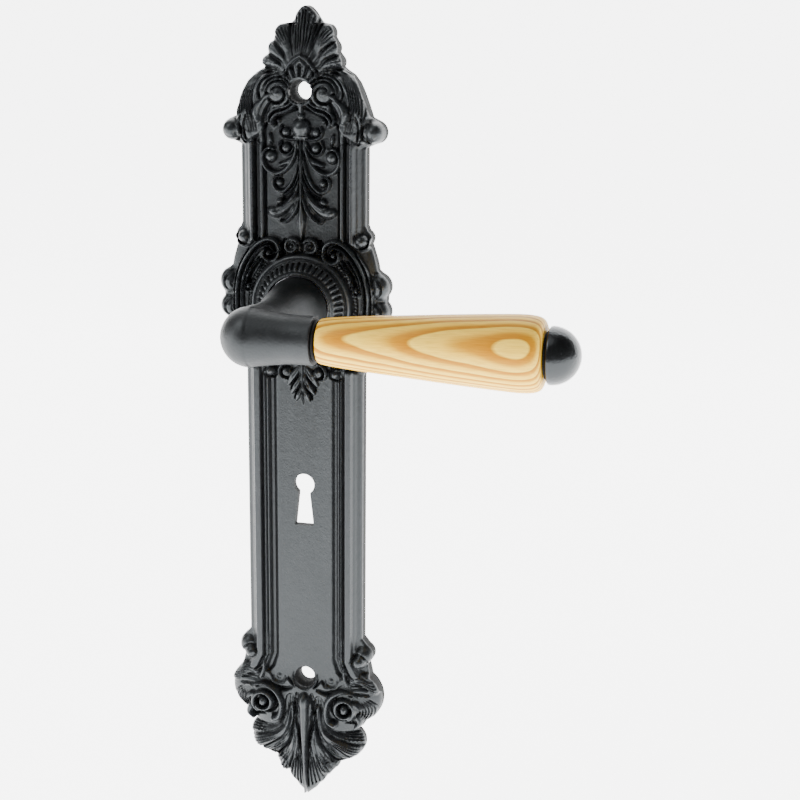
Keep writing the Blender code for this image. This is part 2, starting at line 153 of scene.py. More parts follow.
def linear(code):
    """An sRGB hex colour as linear light."""
    parts = [int(code[i:i + 2], 16) / 255 for i in (1, 3, 5)]
    return tuple(p / 12.92 if p <= 0.04045 else ((p + 0.055) / 1.055) ** 2.4 for p in parts)


def add_node(tree, kind, links=(), **settings):
    """Adds a node. Links are (input, socket), and settings are properties or input values."""
    node = tree.nodes.new("ShaderNode" + kind)
    for name, value in settings.items():
        if hasattr(node, name):
            setattr(node, name, value)
        else:
            node.inputs[name.replace("_", " ")].default_value = value
    for name, socket in links:
        tree.links.new(socket, node.inputs[name])
    return node


def new_material(name, colour, roughness, metallic=0.0, **sockets):
    """A Principled material. Returns the material, its tree and its shader."""
    material = bpy.data.materials.new(name)
    material.use_nodes = True
    tree = material.node_tree
    shader = tree.nodes["Principled BSDF"]
    shader.inputs["Base Color"].default_value = (*linear(colour), 1)
    shader.inputs["Roughness"].default_value = roughness
    shader.inputs["Metallic"].default_value = metallic
    for socket, value in sockets.items():
        shader.inputs[socket.replace("_", " ")].default_value = value
    return material, tree, shader


def ramp_of(tree, source, stops):
    """A colour ramp with its stops given as (place, hex colour)."""
    ramp = add_node(tree, "ValToRGB", [("Fac", source)])
    elements = ramp.color_ramp.elements
    while len(elements) < len(stops):
        elements.new(0.5)
    for element, (place, code) in zip(elements, stops):
        element.position = place
        element.color = (*linear(code), 1)
    return ramp.outputs["Color"]


# ================================================================= shape helpers

def add_object(name, bm, angle=35):
    """Makes an object of a bmesh, smooth but for the edges sharper than the angle."""
    mesh = bpy.data.meshes.new(name)
    bm.to_mesh(mesh)
    bm.free()
    obj = bpy.data.objects.new(name, mesh)
    bpy.context.scene.collection.objects.link(obj)
    mesh.shade_smooth()
    mesh.set_sharp_from_angle(angle=radians(angle))
    return obj


def turned_bmesh(profile, along_arm=False, segments=96):
    """A turned shape from (radius, height): height is depth, or x for a shape along the arm."""
    bm = bmesh.new()
    if along_arm:
        points = [Vector((height, -ARM_DEPTH, radius)) * MM for radius, height in profile]
        axis, centre = (1, 0, 0), Vector((0, -ARM_DEPTH, 0)) * MM
    else:
        points = [Vector((radius, -height, 0)) * MM for radius, height in profile]
        axis, centre = (0, 1, 0), Vector((0, 0, 0))
    verts = [bm.verts.new(point) for point in points]
    edges = [bm.edges.new(pair) for pair in zip(verts, verts[1:])]
    bmesh.ops.spin(bm, geom=verts + edges, cent=centre, axis=axis, angle=2 * pi,
                   steps=segments, use_merge=True)
    bmesh.ops.remove_doubles(bm, verts=bm.verts, dist=0.000002)
    bmesh.ops.recalc_face_normals(bm, faces=bm.faces)
    return bm


def apply_modifiers(obj):
    """Makes the object's modifiers part of its mesh."""
    depsgraph = bpy.context.evaluated_depsgraph_get()
    mesh = bpy.data.meshes.new_from_object(obj.evaluated_get(depsgraph))
    obj.modifiers.clear()
    obj.data = mesh


def cut_with(obj, cutters):
    """Cuts several closed shapes out of one object, and removes them."""
    group = bpy.data.collections.new(obj.name + "_cutters")
    bpy.context.scene.collection.children.link(group)
    for cutter in cutters:
        for owner in list(cutter.users_collection):
            owner.objects.unlink(cutter)
        group.objects.link(cutter)
    modifier = obj.modifiers.new("cut", "BOOLEAN")
    modifier.operation = "DIFFERENCE"
    modifier.solver = "EXACT"
    modifier.operand_type = "COLLECTION"
    modifier.collection = group
    apply_modifiers(obj)
    for cutter in list(group.objects):
        bpy.data.objects.remove(cutter, do_unlink=True)
    bpy.data.collections.remove(group)


def closed_bore(name, profile, place=(0, 0), segments=64):
    """A turned cutter along the depth, round a given (x, z)."""
    bm = turned_bmesh(profile, segments=segments)
    bmesh.ops.translate(bm, verts=bm.verts, vec=(place[0] * MM, 0, place[1] * MM))
    return add_object(name, bm)


def box_cutter(name, low, high, bevel=0.0):
    """A box between two corners, with its edges rounded where a bevel is given."""
    bm = bmesh.new()
    bmesh.ops.create_cube(bm, size=1)
    low, high = Vector(low) * MM, Vector(high) * MM
    bmesh.ops.scale(bm, verts=bm.verts, vec=high - low)
    bmesh.ops.translate(bm, verts=bm.verts, vec=(low + high) / 2)
    if bevel:
        bmesh.ops.bevel(bm, geom=bm.edges[:], offset=bevel * MM, segments=3, profile=0.5,
                        affect="EDGES", material=-1)
    return add_object(name, bm)


# ================================================================= the relief of the plate

def arc(x, z, radius, start, end, steps=10):
    """Points along an arc, with angles in degrees from +X towards +Z."""
    angles = np.radians(np.linspace(start, end, steps + 1))
    return [(x + radius * cos(a), z + radius * sin(a)) for a in angles]


def spiral(x, z, radii, start, turn, steps=40):
    """Points round a middle whose radius goes evenly from the first to the second."""
    angles = np.radians(np.linspace(start, start + turn, steps + 1))
    return [(x + r * cos(a), z + r * sin(a)) for a, r in zip(angles, np.linspace(*radii, steps + 1))]


def smooth_path(points, spacing=0.6):
    """A Catmull-Rom curve through the points."""
    points = np.array(points, float)
    if len(points) == 2:
        return points
    ends = np.vstack([2 * points[0] - points[1], points, 2 * points[-1] - points[-2]])
    curve = []
    for before, a, b, after in zip(ends, ends[1:], ends[2:], ends[3:]):
        steps = max(2, int(np.hypot(*(b - a)) / spacing))
        for t in np.arange(steps) / steps:
            curve.append(0.5 * (2 * a + (b - before) * t + (2 * before - 5 * a + 4 * b - after) * t ** 2
                                + (3 * a - before - 3 * b + after) * t ** 3))
    return np.array(curve + [points[-1]])


def ease(value, low, high):
    """0 below `low`, 1 above `high` and a smooth step between them."""
    share = np.clip((value - low) / (high - low), 0, 1)
    return share * share * (3 - 2 * share)


def soft_max(a, b, blend):
    """The higher of two heights, with their meeting rounded."""
    share = np.clip(0.5 + 0.5 * (a - b) / blend, 0, 1)
    return b + share * (a - b) + blend * share * (1 - share)


def along(values, share):
    """A value at each share of a stroke, from one number or from several spread along it."""
    values = np.atleast_1d(values)
    return np.interp(share, np.linspace(0, 1, len(values)), values)


def section(x, knots):
    """A moulding's height across the plate, rounded at each knot."""
    places, heights = np.array(knots).T
    index = np.clip(np.searchsorted(places, x, side="right") - 1, 0, len(places) - 2)
    share = ease(x, places[index], places[index + 1])
    return heights[index] + (heights[index + 1] - heights[index]) * share


class Relief:
    """Heights over the right half of the plate; the left half is its mirror image.

    Each row runs from the middle line to the outline, so the points follow the outline.
    """

    def __init__(self, z, half_width, columns):
        self.z = np.repeat(z[:, None], columns, 1)
        self.x = half_width[:, None] * np.linspace(0, 1, columns)[None, :]
        self.height = np.zeros_like(self.x)

    def rows(self, low, high):
        inside = np.flatnonzero((self.z[:, 0] >= low) & (self.z[:, 0] <= high))
        return slice(inside[0], inside[-1] + 1) if len(inside) else slice(0, 0)

    def nearest(self, rows, path):
        """The distance to a path, and where along it the nearest point is, from 0 to 1."""
        x, z = self.x[rows], self.z[rows]
        best = np.full(x.shape, 1e6)
        share = np.zeros(x.shape)
        lengths = np.hypot(*np.diff(path, axis=0).T)
        gone = 0.0
        for (ax, az), (bx, bz), length in zip(path, path[1:], lengths):
            t = np.clip(((x - ax) * (bx - ax) + (z - az) * (bz - az)) / length ** 2, 0, 1)
            distance = np.hypot(x - ax - t * (bx - ax), z - az - t * (bz - az))
            closer = distance < best
            best = np.where(closer, distance, best)
            share = np.where(closer, (gone + t * length) / lengths.sum(), share)
            gone += length
        return best, share

    def raise_to(self, rows, height, blend=0.3):
        self.height[rows] = soft_max(self.height[rows], height, blend)

    def stroke(self, points, width, top, base=4.5, power=0.55, blend=0.3):
        """A rounded raised line. Width is to one side, and it and the top may vary along it."""
        path = smooth_path(points)
        reach = np.max(width)
        rows = self.rows(path[:, 1].min() - reach, path[:, 1].max() + reach)
        distance, share = self.nearest(rows, path)
        inside = 1 - (distance / along(width, share)) ** 2
        height = base + (along(top, share) - base) * np.clip(inside, 0, 1) ** power
        self.raise_to(rows, np.where(inside > 0, height, LOW), blend)

    def groove(self, points, width, depth):
        path = smooth_path(points)
        reach = np.max(width)
        rows = self.rows(path[:, 1].min() - reach, path[:, 1].max() + reach)
        distance, share = self.nearest(rows, path)
        inside = np.clip(1 - (distance / along(width, share)) ** 2, 0, 1)
        self.height[rows] -= along(depth, share) * inside

    def knob(self, x, z, radii, top, base=4.5, turn=0, power=0.5, blend=0.3):
        """A rounded boss, round or oval, whose oval may be turned by some degrees."""
        across, upright = np.atleast_1d(radii)[[0, -1]]
        reach = max(across, upright)
        rows = self.rows(z - reach, z + reach)
        dx, dz = self.x[rows] - x, self.z[rows] - z
        c, s = cos(radians(turn)), sin(radians(turn))
        inside = 1 - ((dx * c + dz * s) / across) ** 2 - ((dz * c - dx * s) / upright) ** 2
        height = base + (top - base) * np.clip(inside, 0, 1) ** power
        self.raise_to(rows, np.where(inside > 0, height, LOW), blend)

    def family(self, keys, count, width, depth):
        """Fine grooves spread evenly between key curves that all have the same number of points."""
        keys = np.array(keys, float)
        for place in np.linspace(0, len(keys) - 1, count):
            first = min(int(place), len(keys) - 2)
            share = place - first
            self.groove((1 - share) * keys[first] + share * keys[first + 1], width, depth)


def plate_outline():
    """The right half of the outline from the crest's tip to the foot's tip."""
    crest = [(0.5, PLATE_HIGH[2]), (1.9, 111.4), (3.6, 109.6), (5.6, 106.6), (6.6, 105.6)]
    crest += arc(7.6, 101.9, 3.9, 66, -16, 5) + arc(10.0, 96.6, 3.5, 48, -22, 4)
    crest += arc(12.5, 91.5, 3.0, 46, -30, 4) + [(16.4, 88.9), (19.2, 87.2), (21.5, 84.3), (23.2, 80.6)]
    crest += [(25.0, 75.8), (26.4, 71.6)]
    ear = arc(27.5, 66.2, 4.4, 62, -88)
    upper_button = arc(23.8, 26.4, 3.3, 60, -40, 8)
    shoulder = [(27.3, 21.5), (28.5, 17.6), (29.2, 14.2)]
    leaves = arc(28.6, 8.0, 5.4, 70, -40) + arc(29.0, -1.6, 5.0, 45, -60)
    leaves += arc(27.0, -10.6, 4.4, 40, -60, 8)
    lower_button = arc(24.2, -19.5, 3.2, 60, -50, 8)
    shaft = [(23.7, -27.0), (23.7, -135.5)]
    foot = arc(23.8, -142.0, 4.3, 60, -60) + arc(19.8, -160.8, 12.0, 52, -64, 14)
    foot += [(23.6, -174.0)] + arc(17.6, -181.2, 7.0, 55, -62)
    tip = [(18.9, -189.2), (16.3, -190.4), (14.0, -191.4), (12.9, -193.8), (10.9, -195.2), (9.5, -197.5),
           (8.1, -198.7), (6.7, -201.0), (5.1, -202.3), (3.7, -204.3), (1.9, -205.8), (0.5, PLATE_LOW[2])]
    right = crest + ear + [(24.7, 60.5), (24.7, 31.2)] + upper_button + shoulder + leaves
    return np.array(right + lower_button + shaft + foot + tip)


PANEL_MOULDING = [(0, 6.5), (13.9, 6.5), (14.6, 5.6), (15.4, 8.0), (16.3, 8.0), (17.0, 5.3),
                  (18.4, 5.3), (19.2, 9.1), (19.9, 9.1), (21.5, 7.2), (23.4, 5.6), (40, 5.2)]
SHAFT_MOULDING = [(0, 6.3), (10.8, 6.3), (12.7, 4.9), (13.4, 5.2), (14.6, 7.7), (15.0, 7.0),
                  (15.7, 8.3), (16.6, 7.0), (17.6, 9.1), (19.5, 9.1), (20.6, 7.0), (22.0, 5.6),
                  (22.5, 5.4), (40, 5.1)]
COLLAR_RINGS = [(0, 15), (12.9, 15), (13.1, 14.6), (13.3, 15), (13.6, 14.9), (14.0, 13.4),
                (14.5, 13.1), (17.3, 10.2), (17.8, 9.2), (18.2, 9.6), (18.9, 10.3), (19.7, 9.7),
                (20.2, 7.6), (20.6, 7.3), (21.1, 7.9), (21.7, 7.0), (22.2, 5.6)]


def lay_ground(relief, outline):
    """The mouldings and the swelling grounds that the ornament stands on."""
    x, z = relief.x, relief.z
    inward, _ = relief.nearest(slice(0, len(z)), outline)
    swell = 1 - np.exp(-inward / 4.2)
    crest_from = np.interp(x, [0, 5, 10, 13, 15, 17, 24.7], [77.5, 76.5, 75, 71, 67, 64.5, 60.5])
    collar_from = np.interp(x, [0, 7, 9, 14, 20, 22, 25], [20.5, 20.5, 24.5, 26, 24, 22.5, 23])
    shaft_from = np.interp(x, [0, 10, 13, 20, 24], [-23, -23, -24, -25, -27])
    foot_from = np.interp(x, [0, 5, 7.2, 8.5, 11, 13.4, 14.7, 16, 20, 24],
                          [-159, -157.5, -154.8, -156.8, -157.8, -156.6, -153.4, -152.6, -153.8, -151])
    flare = np.interp(-z, [0, 145, 150.5, 153.4, 158], [10.8, 10.8, 12.4, 14.7, 16.5])
    height = 4.2 + 5.0 * swell
    height += (section(x, PANEL_MOULDING) - height) * (1 - ease(z, crest_from - 0.6, crest_from + 0.6))
    middle = 4.8 + 1.4 * (1 - np.exp(-inward / 3.0))
    height += (middle - height) * (1 - ease(z, collar_from - 0.5, collar_from + 0.5))
    shaft = section(x * 10.8 / flare, SHAFT_MOULDING)
    height += (shaft - height) * (1 - ease(z, shaft_from - 0.5, shaft_from + 0.5))
    foot = 3.4 + 4.6 * (1 - np.exp(-inward / 6.0))
    height += (foot - height) * (1 - ease(z, foot_from - 0.35, foot_from + 0.35))
    relief.height = height
    return inward


def model_crest(relief):
    """The palmette: lobes that fan out over the hood, each with its own fine veins."""
    creases = ([(2.5, 93.0), (4.0, 98.0), (5.6, 103.0), (6.9, 106.0)],
               [(4.6, 91.2), (8.4, 96.2), (13.0, 99.9)],
               [(5.6, 89.2), (10.2, 92.8), (15.2, 94.6)],
               [(6.4, 87.6), (11.0, 89.2), (16.0, 89.6)])
    lobes = (([(0, 95), (0, 103), (0, 111)], 4.4),
             ([(3.8, 92.6), (7.2, 98.6), (9.8, 103.0)], 4.0),
             ([(5.4, 90.6), (10.0, 95.2), (13.0, 96.9)], 2.9),
             ([(6.0, 88.6), (11.0, 91.2), (14.6, 91.9)], 2.5))
    for path, width in lobes:
        relief.stroke(path, [width * 0.4, width, width], [7.4, 9.6, 8.4], base=6.2, power=0.8, blend=0.5)
    for crease in creases:
        relief.groove(crease, [0.5, 0.85, 0.8], [0.8, 1.7, 1.4])
    relief.family([[(0.55, 94.8), (0.6, 103), (0.5, 110.6)], [(2.2, 94.2), (3.7, 100), (4.7, 106.6)]],
                  4, 0.42, [0.5, 1.0, 0.8])
    relief.family([[(3.2, 93.6), (5.0, 99.0), (7.8, 104.9)], [(4.4, 91.9), (7.6, 96.8), (12.4, 100.9)]],
                  6, 0.42, [0.4, 1.0, 0.8])
    relief.family([[(5.0, 91.0), (8.6, 95.2), (13.6, 98.4)], [(5.6, 89.8), (10.0, 93.6), (15.0, 95.4)]],
                  5, 0.42, [0.4, 0.9, 0.7])
    relief.family([[(5.9, 88.7), (10.2, 91.9), (15.4, 93.4)], [(6.3, 88.0), (10.8, 89.9), (16.0, 90.5)]],
                  4, 0.42, [0.4, 0.9, 0.7])


def model_hood(relief):
    """The fluted hood over the upper screw hole and the ring round its mouth."""
    hole = SCREW_HOLES[0]
    for share in np.linspace(0, 1, 5):
        relief.stroke([(0, hole + 5 + 6 * share), (5.2 - 1.5 * share, hole + 3 + 4.5 * share)],
                      1.5, 9.7, base=6)
    relief.stroke([(0, 93.9), (2.5, 92.4), (4.7, 90.0), (6.2, 86.8), (6.4, 85.2)], 0.85, 10.5)
    for degrees_off in (0, 19, 38, 57):
        a = radians(90 - degrees_off)
        relief.groove([(6.1 * cos(a), hole + 6.1 * sin(a)), (9.3 * cos(a), hole + 9.3 * sin(a))],
                      [0.75, 0.95], [1.0, 1.7])
    relief.stroke(arc(0, hole, 5.0, 90, -90, 24), 0.8, 10.1)


def model_crest_volutes(relief):
    """The pair of volutes beside the hole, and the acanthus that falls from them to the ears."""
    eye = (9.0, 80.0)
    relief.knob(*eye, (7.9, 7.2), 9.8, base=5.5, power=0.5)
    relief.stroke([(15.0, 85.0), (20.5, 80.0), (22.0, 71.5), (20.4, 64.6)], [3.6, 4.8, 4.4, 2.6],
                  [8.8, 9.7, 9.5, 8.6], base=6, power=0.8)
    outside = [[(8.0, 87.6), (13.6, 87.4), (17.8, 83.0), (18.9, 75.5), (17.2, 66.4)],
               [(13.5, 89.0), (19.6, 86.4), (23.4, 80.8), (24.8, 74.0), (23.2, 66.0)]]
    relief.family(outside, 7, 0.45, [0.3, 0.9, 1.2, 1.1, 0.6])
    relief.groove([(5.4, 87.0), (10.4, 87.2), (14.6, 85.0), (16.5, 81.0), (15.6, 77.4)],
                  0.5, [0.6, 1.3, 1.6, 0.8])
    relief.groove(spiral(*eye, (5.7, 6.6), 10, 190), 0.45, [0.5, 1.4, 1.4, 0.7])
    relief.groove(spiral(*eye, (4.2, 5.4), -10, 250), 0.5, [0.5, 1.7, 1.7, 0.9])
    relief.groove(spiral(*eye, (2.3, 3.9), 40, 320), [0.4, 0.6, 0.7], [1.0, 2.2, 2.4])
    relief.knob(*eye, 2.0, 10.8, base=7)
    relief.stroke([(11.0, 79.6), (13.0, 78.8), (15.0, 77.0)], [0.6, 1.3, 0.4], 10.6, base=7)
    relief.stroke([(13.8, 77.8), (16.3, 75.4), (17.3, 72.6), (16.6, 69.8)],
                  [0.7, 1.8, 2.1, 1.1], 10.6, base=6)
    relief.groove([(11.8, 76.6), (13.0, 74.0), (14.2, 70.6), (14.4, 68.0)], [0.6, 1.3, 1.4, 0.7], 2.4)


def model_ears(relief):
    """The curled leaf tips that stick out at the panel's upper corners."""
    relief.stroke([(21.6, 73.4), (23.6, 70.0), (24.0, 66.0), (22.6, 62.2)], [1.6, 2.6, 2.8, 1.6],
                  [9.2, 9.4, 9.4, 8.2], base=5, power=0.7)
    relief.groove([(21.6, 71.6), (22.4, 68.0), (22.0, 63.4)], [0.3, 0.5, 0.4], 1.1)
    relief.groove([(23.4, 71.8), (24.0, 68.4), (23.4, 64.0), (22.2, 61.4)], [0.3, 0.5, 0.5, 0.3], 1.2)
    relief.groove(arc(28.0, 66.2, 4.3, 128, 248, 12), [0.4, 0.9, 0.9, 0.5], [0.8, 2.2, 2.2, 1.0])
    relief.knob(28.0, 66.2, (3.9, 4.3), 9.9, base=4, power=0.5)
    relief.groove(arc(27.6, 66.2, 2.6, 150, 320, 12), [0.3, 0.5, 0.3], [0.3, 0.6, 0.3])


def model_ribbons(relief):
    """The two ribbons that swing out below the hole and curl at their ends."""
    relief.groove([(0.5, 75.2), (5.0, 74.0), (9.0, 71.6), (10.6, 68.2)], [0.8, 1.2, 1.2, 0.6], 1.2)
    relief.stroke([(2.8, 77.4), (5.6, 75.4), (9.0, 74.6), (12.0, 72.8), (12.8, 70.2), (12.2, 68.8)],
                  [0.6, 0.8, 0.8, 0.8, 0.8, 0.7], [9.4, 9.6, 9.6, 9.6, 9.6, 9.0])
    relief.stroke([(1.2, 77.4), (3.4, 75.2), (6.4, 73.4), (9.6, 72.4), (11.4, 70.2), (10.9, 68.2)],
                  [0.6, 0.75, 0.75, 0.75, 0.75, 0.8], [9.0, 9.4, 9.6, 9.6, 9.6, 9.8])
    relief.knob(8.8, 69.9, 1.1, 8.6)
    relief.stroke([(0, 77.0), (0, 73.4)], [1.7, 1.0], [9.6, 9.0])


def model_arabesque(relief):
    """The scrolling plant on the upper panel."""
    relief.knob(0, 71.6, (1.5, 1.6), 9.2, base=6)
    relief.knob(0, 67.4, (3.8, 3.7), 10.9, base=6)
    relief.knob(0, 64.2, (2.7, 1.4), 10.0, base=6)
    relief.stroke([(0, 64.1), (2.6, 64.2)], 0.7, 9.4)
    relief.stroke([(1.4, 63.4), (4.2, 63.2), (7.0, 63.9), (8.4, 65.9), (7.6, 67.6)], 0.6, 8.9)
    relief.knob(5.9, 65.9, 1.75, 9.7, base=6)
    relief.stroke([(1.8, 62.4), (3.0, 59.6), (5.0, 57.6), (7.5, 57.9), (8.7, 60.2), (7.8, 62.2)], 0.6, 8.9)
    relief.knob(5.8, 60.0, 1.95, 9.6, base=6)
    relief.stroke([(1.3, 63.0), (2.2, 58.2), (4.0, 54.3), (6.9, 51.3), (10.2, 50.3), (13.4, 51.8),
                   (15.0, 54.9), (14.7, 57.9), (12.9, 59.7), (10.6, 59.3)],
                  [0.5, 0.7, 0.8, 0.9, 1.0, 1.0, 0.9, 0.8, 0.7, 0.5], 9.4)
    relief.knob(12.0, 56.7, 2.45, 10.0, base=6)
    relief.stroke([(2.6, 57.6), (4.6, 55.0), (8.4, 53.5)], [0.4, 1.3, 0.9], [8.2, 9.0, 8.8])
    relief.stroke([(12.4, 64.9), (12.1, 63.0), (11.8, 61.2)], [0.5, 1.1, 0.5], 8.9)
    relief.stroke([(0.9, 55.5), (2.2, 50.4), (4.3, 46.2), (7.2, 43.6), (10.0, 44.3), (11.2, 46.8),
                   (10.2, 49.0), (8.0, 49.3)], [0.5, 0.65, 0.75, 0.8, 0.8, 0.7, 0.6, 0.5], 9.0)
    relief.stroke([(0.6, 52.0), (1.9, 47.6), (4.4, 44.0), (7.6, 42.0)], [0.4, 0.6, 0.6, 0.4], 8.4)
    relief.knob(8.5, 46.9, 1.5, 9.4, base=6)
    model_arabesque_leaves(relief)
    relief.stroke([(0, 64), (0, 45), (0, 38)], [0.65, 0.8, 0.8], 9.3)
    relief.stroke([(0.95, 63.8), (0.95, 57.5), (0.5, 51)], [0.35, 0.4, 0.2], 8.6)
    relief.stroke([(0, 40), (0, 33.5), (0, 24.2)], [0.8, 2.1, 0.35], [9.0, 9.2, 8.4])


def model_arabesque_leaves(relief):
    """The three-lobed leaves at the plant's foot."""
    relief.stroke([(1.2, 42.0), (5.2, 37.8), (9.6, 35.6)], [1.6, 3.6, 3.2], [7.6, 8.4, 8.6], power=0.7)
    relief.knob(11.0, 35.6, (3.3, 2.4), 9.2, turn=20)
    relief.knob(8.6, 39.8, (1.9, 1.3), 9.2, turn=-30)
    relief.stroke([(0.6, 48.0), (2.1, 43.6), (4.6, 40.0), (8.2, 37.5), (9.6, 37.9)],
                  [0.4, 0.7, 0.8, 0.7, 0.4], 9.5)
    relief.stroke([(0.6, 41.5), (1.9, 37.2), (4.3, 33.8), (7.0, 31.9), (8.4, 32.4)],
                  [0.4, 0.7, 0.8, 0.8, 0.5], 9.3)
    relief.groove([(3.0, 38.8), (5.8, 35.4), (9.0, 33.8)], [0.5, 1.0, 0.4], [1.0, 1.6, 0.6])
    relief.groove([(2.2, 44.0), (4.6, 41.6), (7.2, 40.7)], 0.5, 1.0)


def model_collar(relief):
    """The raised collar round the lever, with its ring of small dentils."""
    rows = relief.rows(-23, 23)
    x, z = relief.x[rows], relief.z[rows]
    away = np.hypot(x, z)
    around = np.arctan2(z, x)
    rings = section(away, COLLAR_RINGS)
    band = ease(away, 14.4, 15.0) * (1 - ease(away, 16.6, 17.2))
    rings -= band * 1.3 * np.clip(1.4 * np.cos(44 * around), -0.2, 1)
    leaf = ease(away, 20.4, 20.8) * (1 - ease(away, 21.2, 21.7))
    rings -= leaf * 0.5 * (1 + np.cos(96 * around))
    relief.raise_to(rows, np.where(away < 22, rings, LOW), 0.25)


def model_scroll_frame(relief):
    """The big C-scrolls that hold the collar, their eyes and the pods inside them."""
    top = [(26.0, -4), (26.3, 3), (25.6, 9), (23.8, 14.6), (21.0, 19.4), (17.6, 23.2), (13.6, 25.2),
           (10.0, 24.2), (8.6, 21.0), (9.8, 17.9), (12.7, 16.9), (15.0, 18.6), (14.6, 21.2)]
    lower = [(12.3, -24.0), (16.0, -24.4), (19.6, -21.6), (23.0, -16.6), (25.2, -10.5)]
    relief.stroke(lower + top, [0.6, 0.8, 0.85, 0.85, 0.9, 1.0, 1.0, 0.9, 0.8], [9.2, 9.5, 9.6, 9.9, 10.2])
    relief.stroke([(15.8, -20.8), (20.3, -16.2), (22.9, -10.3), (23.9, -4), (24.3, 3), (23.6, 9.0),
                   (21.8, 14.2), (19.0, 18.7), (15.6, 22.0), (12.6, 22.6), (11.2, 20.4)],
                  [0.5, 0.65, 0.7, 0.7, 0.7, 0.65, 0.6, 0.4], [9.0, 9.4, 9.4, 9.8])
    relief.stroke([(22.6, -20.6), (25.6, -13.6), (27.5, -5), (27.8, 2), (27.1, 9), (25.2, 15.2),
                   (21.9, 20.8)], [0.4, 0.6, 0.6, 0.4], 8.2)
    relief.knob(12.9, 19.9, 1.25, 10.6, base=6)
    relief.groove([(15.6, 17.6), (18.2, 14.4), (20.6, 10.2), (21.6, 6.2)], [0.5, 1.5, 1.7, 1.0], 2.0)
    relief.groove([(16.6, -16.6), (19.4, -12.8), (21.2, -8.4), (21.9, -4.2)], [0.5, 1.3, 1.4, 0.8], 2.0)
    relief.stroke([(15.2, 18.2), (17.0, 14.6), (19.2, 11.0), (20.2, 7.2), (20.8, 4.9), (22.6, 5.0),
                   (22.7, 8.0), (20.9, 13.0), (17.8, 17.2)], 0.36, 8.8)
    relief.knob(21.5, 6.7, (0.95, 1.6), 9.0, turn=15)
    relief.stroke([(16.4, -17.2), (18.2, -13.4), (20.0, -9.4), (20.8, -5.6), (22.4, -3.6), (22.8, -7.4),
                   (20.8, -12.8), (17.8, -16.6)], 0.36, 8.6)
    relief.knob(21.6, -5.2, (0.9, 1.4), 8.8, turn=-15)
    relief.knob(13.2, -26.4, 2.2, 9.8)
    relief.groove(arc(13.2, -26.4, 2.7, 0, 360, 24), 0.5, 1.0)


def model_side_leaves(relief):
    """The buttons and leaf lobes down both sides of the middle."""
    for z, top in ((25.6, 9.4), (-19.6, 8.8)):
        relief.stroke(arc(23.2, z, 3.5, -170, 10, 16), 0.5, 7.6)
        relief.knob(23.2, z, 2.75, top, base=5)
    lobes = ((30.2, 8.0, 4.2, 5.6, 8.4), (30.2, -1.9, 4.2, 5.0, 8.1), (28.2, -10.8, 3.8, 4.2, 7.8))
    for x, z, across, upright, top in lobes:
        relief.knob(x, z, (across, upright), top, base=3.6, power=0.6)
        relief.groove([(x - 2.4, z + upright * 0.8), (x + 0.6, z + 1.6), (x + 0.8, z - 1.8),
                       (x - 1.4, z - upright * 0.75)], [0.4, 0.7, 0.6, 0.4], [0.5, 1.2, 1.2, 0.5])
        relief.groove([(x - 3.2, z + 2.0), (x - 1.6, z - 0.4), (x - 2.6, z - 2.8)], 0.45, 0.8)
        relief.knob(x - 0.2, z + 0.6, 1.0, top + 0.3)


def model_twin_scrolls(relief):
    """The two small spirals that sit on top of the collar."""
    relief.knob(3.4, 22.8, (3.7, 3.5), 8.6, base=5.5, power=0.6)
    relief.stroke(spiral(3.7, 22.9, (2.9, 1.5), 150, -420), [0.75, 0.7, 0.55], 9.9, base=7)
    relief.knob(3.7, 22.9, 0.95, 10.2)
    relief.groove([(6.9, 24.8), (8.0, 21.8), (7.6, 19.6)], 0.8, 1.2)


def model_leaf_spray(relief):
    """The serrated leaf that hangs below the collar."""
    relief.stroke([(0, -21), (0, -30), (0, -38.0)], [6.0, 4.6, 0.9], [7.8, 7.6, 7.0], base=5.6, power=0.7)
    tips = (((1.2, -24.2), (3.6, -27.6), (5.9, -31.6), 2.0), ((0.9, -28.6), (2.7, -31.6), (4.7, -35.0), 1.7),
            ((0.6, -32.8), (1.6, -35.2), (2.8, -38.0), 1.15))
    for root, middle, tip, width in tips:
        relief.stroke([root, middle, tip], [width * 0.6, width, width * 0.3], [8.2, 9.3, 8.2], base=5.5)
        relief.groove([root, middle, tip], 0.38, [0.3, 0.8, 0.3])
    creases = ([(1.0, -26.6), (3.0, -29.6), (4.9, -33.4)], [(0.8, -31.0), (2.0, -33.4), (3.4, -36.8)])
    for crease in creases:
        relief.groove(crease, [0.35, 0.6, 0.5], [0.6, 1.6, 1.2])
    relief.stroke([(1.6, -21.6), (4.6, -22.4), (7.6, -23.2), (9.4, -25.6), (8.8, -28.4), (6.6, -29.4)],
                  [0.9, 0.9, 0.8, 0.8, 0.7, 0.5], [9.0, 9.2, 9.0, 8.8])
    relief.knob(6.4, -26.4, 2.1, 9.5, base=5.5)
    relief.groove(spiral(6.4, -26.4, (1.5, 0.6), 90, 300), 0.35, 0.6)
    relief.stroke([(0, -21), (0, -32), (0, -39.3)], [0.9, 0.7, 0.3], [9.2, 8.8, 7.6])


def model_field_end(relief):
    """The ring round the lower screw hole, and the small curls at the field's lower corners."""
    hole = SCREW_HOLES[1]
    relief.stroke(arc(11.0, -155.2, 2.4, 10, -190, 18), 0.75, [6.6, 8.0, 6.6], base=5)
    relief.knob(11.0, -154.6, 1.7, 6.9, base=4.5)
    relief.groove([(5.6, -158.6), (9.0, -159.6), (13.0, -159.0), (17.4, -156.2), (22.5, -153.6)],
                  [0.8, 1.3, 1.3, 1.4, 0.9], [1.2, 2.4, 2.2, 2.4, 1.2])
    relief.stroke(arc(0, hole, 5.05, 12, -90, 20), 0.8, [6.6, 9.0, 9.0])


